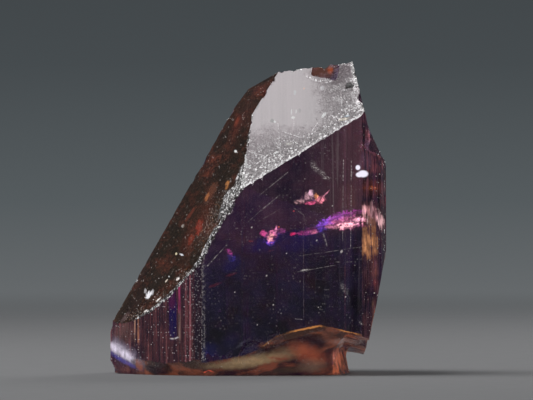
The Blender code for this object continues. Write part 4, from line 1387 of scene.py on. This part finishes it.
def broken_finish(shade, x, y, z):
    """Fresh broken underside: glassy, dark brown with soft painted olive, beige and reddish light
    and a painted red glint.
    """
    flow = shade.vector(x, y, z)
    clouds = shade.noise(shade.vector(x * 0.55, y * 0.9, z * 1.5), 1.0, 4.0, 0.55, 0.8)
    fine = shade.noise(flow, 4.0, 3.0, 0.6)
    glow = shade.ramp(
        0.78 * clouds + 0.22 * fine,
        (0.38, rgb(0.005, 0.003, 0.004)), (0.50, rgb(0.026, 0.012, 0.008)),
        (0.62, rgb(0.085, 0.026, 0.014)),
    )
    ragged = 3.0 * (clouds - 0.5) + 0.8 * (fine - 0.5)
    lit = shade.painted(glow, FOOT_CLOUDS, x, z, ragged, -0.8)
    lit = shade.scaled(lit, 0.55 + 0.9 * clouds.step(0.36, 0.64))
    front = (y - LEAN * z).step(4.0, 2.6)
    glow = shade.blend(glow, lit, front)
    dark = (z - x.profile(ARCH_RIM) + 0.10 * (fine - 0.5)).step(-0.02, 0.04)
    dark = dark * x.step(-2.1, -1.9) * x.step(0.7, 0.3) * front
    glow = shade.blend(glow, rgb(0.006, 0.005, 0.018), dark)
    glow = tip_glow(shade, glow, x, z)
    specks = shade.flecks(flow, 13.0, 0.75)
    glow = shade.blend(glow, rgb(0.36, 0.32, 0.30), specks)
    # A painted thin red glint near the left end
    ember = shade.path(x, z, FOOT_RED_GLINT, 0.035)
    glow = shade.blend(glow, rgb(0.60, 0.09, 0.05), ember * front * fine.step(0.40, 0.60))
    colour = shade.blend(rgb(0.90, 0.76, 0.78), rgb(0.88, 0.58, 0.40), clouds.step(0.40, 0.60))
    return colour, glow, 0.04 + 0.06 * fine, 0.3 * fine + 1.4 * clouds


# Finishes: name, paint, share of clear transmission, bump height in metres, and their faces
FINISHES = (
    ("slanting_face", slant_finish, 0.98, 0.000014, ("slant",)),
    ("striated_front", front_finish, 0.98, 0.000008, ("front",)),
    ("etched_silver", silver_finish, 0.35, 0.000030, ("silver",)),
    ("striated_curve", curve_finish, 0.98, 0.000016, ("curve",)),
    ("striated_side", side_finish, 0.98, 0.000012, ("shoulder", "right")),
    ("clear_rear", rear_finish, 0.98, 0.000010, ("rear", "back", "left")),
    ("splintered_peak", peak_finish, 0.94, 0.000030, ("peak",)),
    ("broken_foot", broken_finish, 0.98, 0.000030, ("broken",)),
    ("crushed_edges", crushed_finish, 0.50, 0.000045, ("crushed",)),
)

# Angle in degrees above which an edge is sharp; the mineral's index, colour and density
SHARP_ANGLE = 16.0
GEM_INDEX = 1.695
BODY_COLOUR = rgb(0.42, 0.03, 0.55)
BODY_DENSITY = 420.0


def emptied(owner):
    """The node tree of a material or a world, emptied, as the start of a shader."""
    owner.use_nodes = True
    owner.node_tree.nodes.clear()
    return Shade(owner.node_tree)


def gem_material(name, paint, clear, relief):
    """Clear absorbing mineral with the given paint, gloss and relief on its surface; the paint's
    glow is painted light, given off as emission.
    """
    material = bpy.data.materials.new(name)
    shade = emptied(material)
    place = shade.node("ShaderNodeTexCoord", {}, {}, "Object")
    to_mm = {0: place, 1: (1.0 / MM,) * 3, 2: (0.0, -FOOT_LINE, 0.0)}
    place = shade.node("ShaderNodeVectorMath", {"operation": "MULTIPLY_ADD"}, to_mm)
    x, y, z = (place.axis(name) for name in "XYZ")
    # The glow of each finish is painted light, given off as emission in place of the light seen in
    # and on the crystal
    colour, glow, rough, height = paint(shade, x, y, z)
    bump = {"Strength": 1.0, "Distance": relief, "Height": height}
    sockets = {
        "Base Color": colour, "Roughness": rough, "IOR": GEM_INDEX, "Transmission Weight": clear,
        "Emission Color": glow, "Emission Strength": 1.0,
        "Normal": shade.node("ShaderNodeBump", {}, bump),
    }
    surface = shade.node("ShaderNodeBsdfPrincipled", {}, sockets)
    depth = {"Color": BODY_COLOUR, "Density": BODY_DENSITY}
    body = shade.node("ShaderNodeVolumeAbsorption", {}, depth)
    shade.node("ShaderNodeOutputMaterial", {}, {"Surface": surface, "Volume": body})
    return material


def build_crystal():
    points, triangles, face, run = crystal_mesh()
    item = mesh_object("crystal_surface", points, triangles)
    mesh = item.data
    mesh.shade_smooth()
    mesh.set_sharp_from_angle(angle=math.radians(SHARP_ANGLE))
    finish_of = np.zeros(len(FACE_NAMES), dtype=np.int32)
    for index, (name, paint, clear, relief, faces) in enumerate(FINISHES):
        mesh.materials.append(gem_material(name, paint, clear, relief))
        finish_of[[FACE_NAMES.index(face_name) for face_name in faces]] = index
    mesh.polygons.foreach_set("material_index", finish_of[face])
    layer = mesh.attributes.new("run", "FLOAT", "POINT")
    layer.data.foreach_set("value", run.astype(np.float32))
    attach(item, "root")
    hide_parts("tanzanite_crystal")


# The feathers inside, just behind the front face, that carry painted light: outlines as x, z and
# half height
FEATHERS = (
    ((1.70, 6.08, 0.10), (2.20, 6.14, 0.30), (2.70, 6.22, 0.42), (3.33, 6.50, 0.50),
     (3.98, 6.66, 0.60), (4.67, 6.76, 0.60), (5.02, 6.84, 0.50)),
    ((0.40, 6.04, 0.10), (0.80, 6.02, 0.50), (1.15, 6.04, 0.55), (1.60, 6.14, 0.40),
     (1.75, 6.14, 0.10)),
    ((-1.10, 5.28, 0.08), (-0.86, 5.24, 0.40), (-0.66, 5.18, 0.40), (-0.45, 5.10, 0.08)),
    ((1.90, 7.50, 0.08), (2.40, 7.58, 0.40), (2.90, 7.70, 0.52), (3.40, 7.74, 0.42),
     (3.62, 7.80, 0.10)),
)

# Depth behind the front face and half thickness; steps along and round; sway, and its seeds
FEATHER_DEPTH = 0.45
FEATHER_THICK = 0.02
FEATHER_STEPS = 90
FEATHER_ROUND = 16
FEATHER_SWAY = 0.05
FEATHER_SEEDS = (5, 8, 11, 14)

# Painted light in the feathers: middle, half sizes, slope, colour, strength
FEATHER_LIGHTS = (
    ((4.15, 6.93), 1.05, 0.22, 0.18, rgb(0.30, 0.03, 0.24), 0.85),
    ((3.00, 6.28), 1.30, 0.34, 0.25, rgb(0.04, 0.02, 0.22), 0.60),
    ((1.98, 6.09), 0.24, 0.11, 0.10, rgb(0.60, 0.02, 0.08), 1.00),
    ((2.32, 6.13), 0.40, 0.15, 0.10, rgb(0.20, 0.02, 0.08), 0.95),
    ((2.74, 6.22), 0.56, 0.22, 0.12, rgb(0.17, 0.025, 0.10), 1.00),
    ((2.92, 6.18), 0.32, 0.12, 0.12, rgb(0.32, 0.085, 0.13), 0.95),
    ((3.18, 6.36), 0.26, 0.30, 0.50, rgb(0.04, 0.02, 0.28), 0.90),
    ((3.44, 6.58), 0.56, 0.32, 0.30, rgb(0.19, 0.055, 0.48), 1.00),
    ((3.90, 6.80), 0.60, 0.26, 0.25, rgb(0.29, 0.050, 0.35), 0.95),
    ((3.57, 6.41), 0.30, 0.14, 0.00, rgb(0.60, 0.21, 0.32), 1.00),
    ((4.36, 6.56), 0.98, 0.38, 0.15, rgb(0.62, 0.15, 0.31), 1.00),
    ((4.20, 6.44), 0.60, 0.18, 0.15, rgb(0.95, 0.46, 0.46), 1.00),
    ((4.72, 6.66), 0.34, 0.22, 0.20, rgb(0.92, 0.44, 0.52), 0.95),
    ((1.04, 6.00), 0.70, 0.50, 0.15, rgb(0.07, 0.02, 0.20), 0.60),
    ((0.96, 5.74), 0.34, 0.22, 0.10, rgb(0.08, 0.04, 0.42), 0.90),
    ((0.68, 6.12), 0.20, 0.22, 0.00, rgb(0.46, 0.05, 0.18), 0.85),
    ((1.44, 6.24), 0.34, 0.15, -0.10, rgb(0.30, 0.05, 0.20), 0.80),
    ((1.03, 6.02), 0.30, 0.38, 0.50, rgb(0.62, 0.15, 0.27), 1.00),
    ((1.22, 6.26), 0.10, 0.24, 1.20, rgb(0.66, 0.22, 0.36), 0.95),
    ((0.99, 5.94), 0.17, 0.26, 0.50, rgb(0.90, 0.40, 0.36), 1.00),
    ((-0.70, 5.08), 0.30, 0.28, -0.30, rgb(0.020, 0.014, 0.13), 0.75),
    ((-0.80, 5.32), 0.24, 0.18, -0.50, rgb(0.26, 0.035, 0.16), 0.90),
    ((2.80, 7.60), 0.90, 0.34, 0.00, rgb(0.10, 0.03, 0.10), 0.55),
    ((2.25, 7.48), 0.36, 0.13, 0.05, rgb(0.40, 0.24, 0.22), 0.85),
    ((2.74, 7.42), 0.56, 0.11, 0.02, rgb(0.46, 0.06, 0.13), 0.90),
    ((2.62, 7.72), 0.36, 0.28, 0.30, rgb(0.42, 0.25, 0.25), 0.95),
    ((2.72, 7.88), 0.18, 0.18, 0.00, rgb(0.72, 0.46, 0.52), 0.90),
    ((2.98, 7.70), 0.15, 0.20, -0.30, rgb(0.80, 0.32, 0.08), 0.95),
    ((3.16, 7.56), 0.28, 0.23, 0.10, rgb(0.72, 0.21, 0.24), 1.00),
    ((3.38, 7.82), 0.24, 0.07, 1.00, rgb(0.75, 0.28, 0.34), 0.90),
)

# The place from which the streaks of the upper feather fan out
FAN_MIDDLE_X = 2.98
FAN_MIDDLE_Z = 7.20


def feather_part(outline, seed):
    """A thin closed lens along x: z = middle + half height * cos(turn), y by the sine.

    Its depth also sways along x, by FEATHER_SWAY times a cloud.
    """
    knots = np.array(outline)
    x = np.linspace(knots[0, 0], knots[-1, 0], FEATHER_STEPS)
    middle = np.interp(x, knots[:, 0], knots[:, 1])
    half = np.interp(x, knots[:, 0], knots[:, 2])
    turn = np.linspace(0.0, 2.0 * math.pi, FEATHER_ROUND, endpoint=False)
    z = middle[:, None] + half[:, None] * np.cos(turn)
    sway = FEATHER_SWAY * cloud(2.0 * x, 0.0 * x, seed)[:, None]
    y = FEATHER_DEPTH + FEATHER_THICK * np.sin(turn) + sway
    grid = np.stack([x[:, None] + 0.0 * z, y + LEAN * z, z], axis=-1).reshape(-1, 3)
    poles = np.array([grid[:FEATHER_ROUND].mean(axis=0), grid[-FEATHER_ROUND:].mean(axis=0)])
    a, b, c, d = ring_cells(FEATHER_STEPS, FEATHER_ROUND)
    sides = np.concatenate([np.stack([a, b, c], -1), np.stack([a, c, d], -1)]).reshape(-1, 3)
    low = pole_fan(len(grid), a[0], d[0])
    high = pole_fan(len(grid) + 1, c[-1], b[-1])
    return np.concatenate([grid, poles]), np.concatenate([sides, low, high])


def feather_material():
    """Painted light in thin feathers, given off as emission: ragged streaks, clear in between."""
    material = bpy.data.materials.new("lit_feather")
    shade = emptied(material)
    place = shade.node("ShaderNodeTexCoord", {}, {}, "Object")
    x, z = (place.axis(name) * (1.0 / MM) for name in "XZ")
    mottle = shade.noise(shade.vector(x, z), 3.5, 4.0, 0.65)
    streaks = shade.noise(shade.vector(1.8 * (x + 0.2 * z), 6.5 * (z - 0.2 * x)), 1.0, 3.0, 0.65)
    turn = shade.math("ARCTAN2", x - FAN_MIDDLE_X, z - FAN_MIDDLE_Z)
    fan = shade.noise(shade.vector(turn * 11.0, z * 1.5), 1.0, 3.0, 0.65)
    above = z.step(FAN_MIDDLE_Z + 0.10, FAN_MIDDLE_Z + 0.30)
    streaks = streaks + (fan - streaks) * above
    frayed = shade.noise(shade.vector(x, z, 2.0), 6.0, 4.0, 0.7)
    ragged = 0.8 * (mottle - 0.5) + 2.6 * (frayed - 0.5) + 1.2 * (streaks - 0.5) - 0.15
    colour = rgb(0.0, 0.0, 0.0)
    cover = 0.0
    for middle, half_x, half_z, slope, tint, strength in FEATHER_LIGHTS:
        share = strength * shade.oval(x, z, middle, half_x, half_z, slope, ragged, -0.7)
        colour = shade.blend(colour, tint, share.step(0.0, 0.7))
        cover = share.most(cover)
    bright = (0.14 + 1.3 * streaks.step(0.36, 0.64)) * (0.12 + 1.5 * cover) * (0.60 + mottle)
    sockets = {
        "Base Color": rgb(0.03, 0.01, 0.04), "Roughness": 0.5,
        "Emission Color": shade.scaled(colour, bright),
        "Emission Strength": 1.3, "Alpha": cover.step(0.0, 0.75),
    }
    surface = shade.node("ShaderNodeBsdfPrincipled", {}, sockets)
    shade.node("ShaderNodeOutputMaterial", {}, {"Surface": surface})
    return material


def build_feather():
    parts = [feather_part(outline, seed) for outline, seed in zip(FEATHERS, FEATHER_SEEDS)]
    counts = np.cumsum([0] + [len(points) for points, faces in parts])
    points = np.concatenate([part[0] for part in parts])
    faces = np.concatenate([part[1] + first for part, first in zip(parts, counts)])
    item = mesh_object("inner_feather", points, faces)
    item.data.shade_smooth()
    item.data.materials.append(feather_material())
    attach(item, "root")


# The lamps face one place: name, way from it, distance, width and height in metres, radiance
LIT_PLACE = Vector((0.0, 0.0, 0.007))
LIGHTS = (
    ("soft_top", (-0.48, -0.06, 0.87), 0.150, 0.100, 0.100, 4.7),
    ("soft_back", (0.55, 0.70, 0.60), 0.160, 0.080, 0.080, 3.0),
)


def soft_light(name, way, distance, width, height, radiance):
    """A square lamp that faces the crystal; its power is four times radiance times area."""
    lamp = bpy.data.lights.new(name, "AREA")
    lamp.shape = "RECTANGLE"
    lamp.size, lamp.size_y = width, height
    lamp.energy = 4.0 * radiance * width * height
    item = new_object(name, lamp)
    way = Vector(way).normalized()
    item.location = LIT_PLACE + distance * way
    item.rotation_euler = way.to_track_quat("Z", "Y").to_euler()


# Grey of the surroundings from straight down, at 0, over the horizon to straight up, at 1
SURROUNDINGS = (
    (0.000, rgb(0.205, 0.207, 0.210)), (0.480, rgb(0.186, 0.189, 0.192)),
    (0.489, rgb(0.145, 0.154, 0.160)), (0.500, rgb(0.091, 0.105, 0.112)),
    (0.512, rgb(0.060, 0.070, 0.076)), (0.530, rgb(0.046, 0.053, 0.057)),
    (1.000, rgb(0.045, 0.050, 0.055)),
)


def studio_world():
    """Grey surroundings, light below the horizon as over a pale table, darker above it."""
    world = bpy.data.worlds.new("studio")
    shade = emptied(world)
    up = shade.node("ShaderNodeTexCoord", {}, {}, "Generated").axis("Z")
    colour = shade.ramp(0.5 + 0.5 * up, *SURROUNDINGS)
    surface = shade.node("ShaderNodeBackground", {}, {"Color": colour, "Strength": 1.0})
    shade.node("ShaderNodeOutputWorld", {}, {"Surface": surface})
    bpy.context.scene.world = world


# The floor: radii of its rings and where it has faded out and in, in metres, and its greys
FLOOR_RINGS = (0.02, 0.05, 0.10, 0.18, 0.30)
FLOOR_SIDES = 96
FLOOR_FADE = (0.24, 0.03)
FLOOR_GREYS = (rgb(0.225, 0.225, 0.23), rgb(0.255, 0.255, 0.26))
FLOOR_GRAIN = 900.0


def studio_floor():
    """A round pale floor under the crystal that fades into the surroundings."""
    turn = np.linspace(0.0, 2.0 * math.pi, FLOOR_SIDES, endpoint=False)
    rings = np.array(FLOOR_RINGS)[:, None]
    x, y = rings * np.cos(turn), rings * np.sin(turn)
    points = np.stack([x, y, 0.0 * x], axis=-1).reshape(-1, 3)
    corners = ring_cells(len(FLOOR_RINGS), FLOOR_SIDES)
    faces = np.stack(corners, axis=-1).reshape(-1, 4).tolist()
    mesh = bpy.data.meshes.new("studio_floor")
    mesh.from_pydata(points.tolist(), [], faces + [list(range(FLOOR_SIDES))])
    floor = new_object("studio_floor", mesh)
    material = bpy.data.materials.new("pale_floor")
    shade = emptied(material)
    place = shade.node("ShaderNodeTexCoord", {}, {}, "Object")
    reach = shade.node("ShaderNodeVectorMath", {"operation": "LENGTH"}, {0: place}, "Value")
    grain = shade.noise(place, FLOOR_GRAIN, 3.0, 0.6)
    sockets = {
        "Base Color": shade.blend(*FLOOR_GREYS, grain), "Roughness": 0.9,
        "Specular IOR Level": 0.1, "Alpha": reach.step(*FLOOR_FADE),
    }
    surface = shade.node("ShaderNodeBsdfPrincipled", {}, sockets)
    shade.node("ShaderNodeOutputMaterial", {}, {"Surface": surface})
    mesh.materials.append(material)


# The camera looks level at the front face from 250 mm; the view is 22.9 mm wide there
CAMERA_DISTANCE = 0.250
FRAME_WIDTH = 0.02292
CAMERA_X = 0.817
CAMERA_Z = 7.57
SENSOR_WIDTH = 36.0
CLIP_START, CLIP_END = 0.01, 10.0


def photo_camera():
    lens = bpy.data.cameras.new("photo_camera")
    lens.sensor_width = SENSOR_WIDTH
    lens.lens = SENSOR_WIDTH * CAMERA_DISTANCE / FRAME_WIDTH
    lens.clip_start, lens.clip_end = CLIP_START, CLIP_END
    camera = new_object("photo_camera", lens)
    camera.location = (CAMERA_X * MM, FOOT_LINE * MM - CAMERA_DISTANCE, CAMERA_Z * MM)
    camera.rotation_euler = (math.radians(90.0), 0.0, 0.0)
    bpy.context.scene.camera = camera


def main():
    bpy.context.scene.view_settings.view_transform = "Standard"
    build_crystal()
    build_feather()
    for light in LIGHTS:
        soft_light(*light)
    studio_world()
    studio_floor()
    photo_camera()


main()
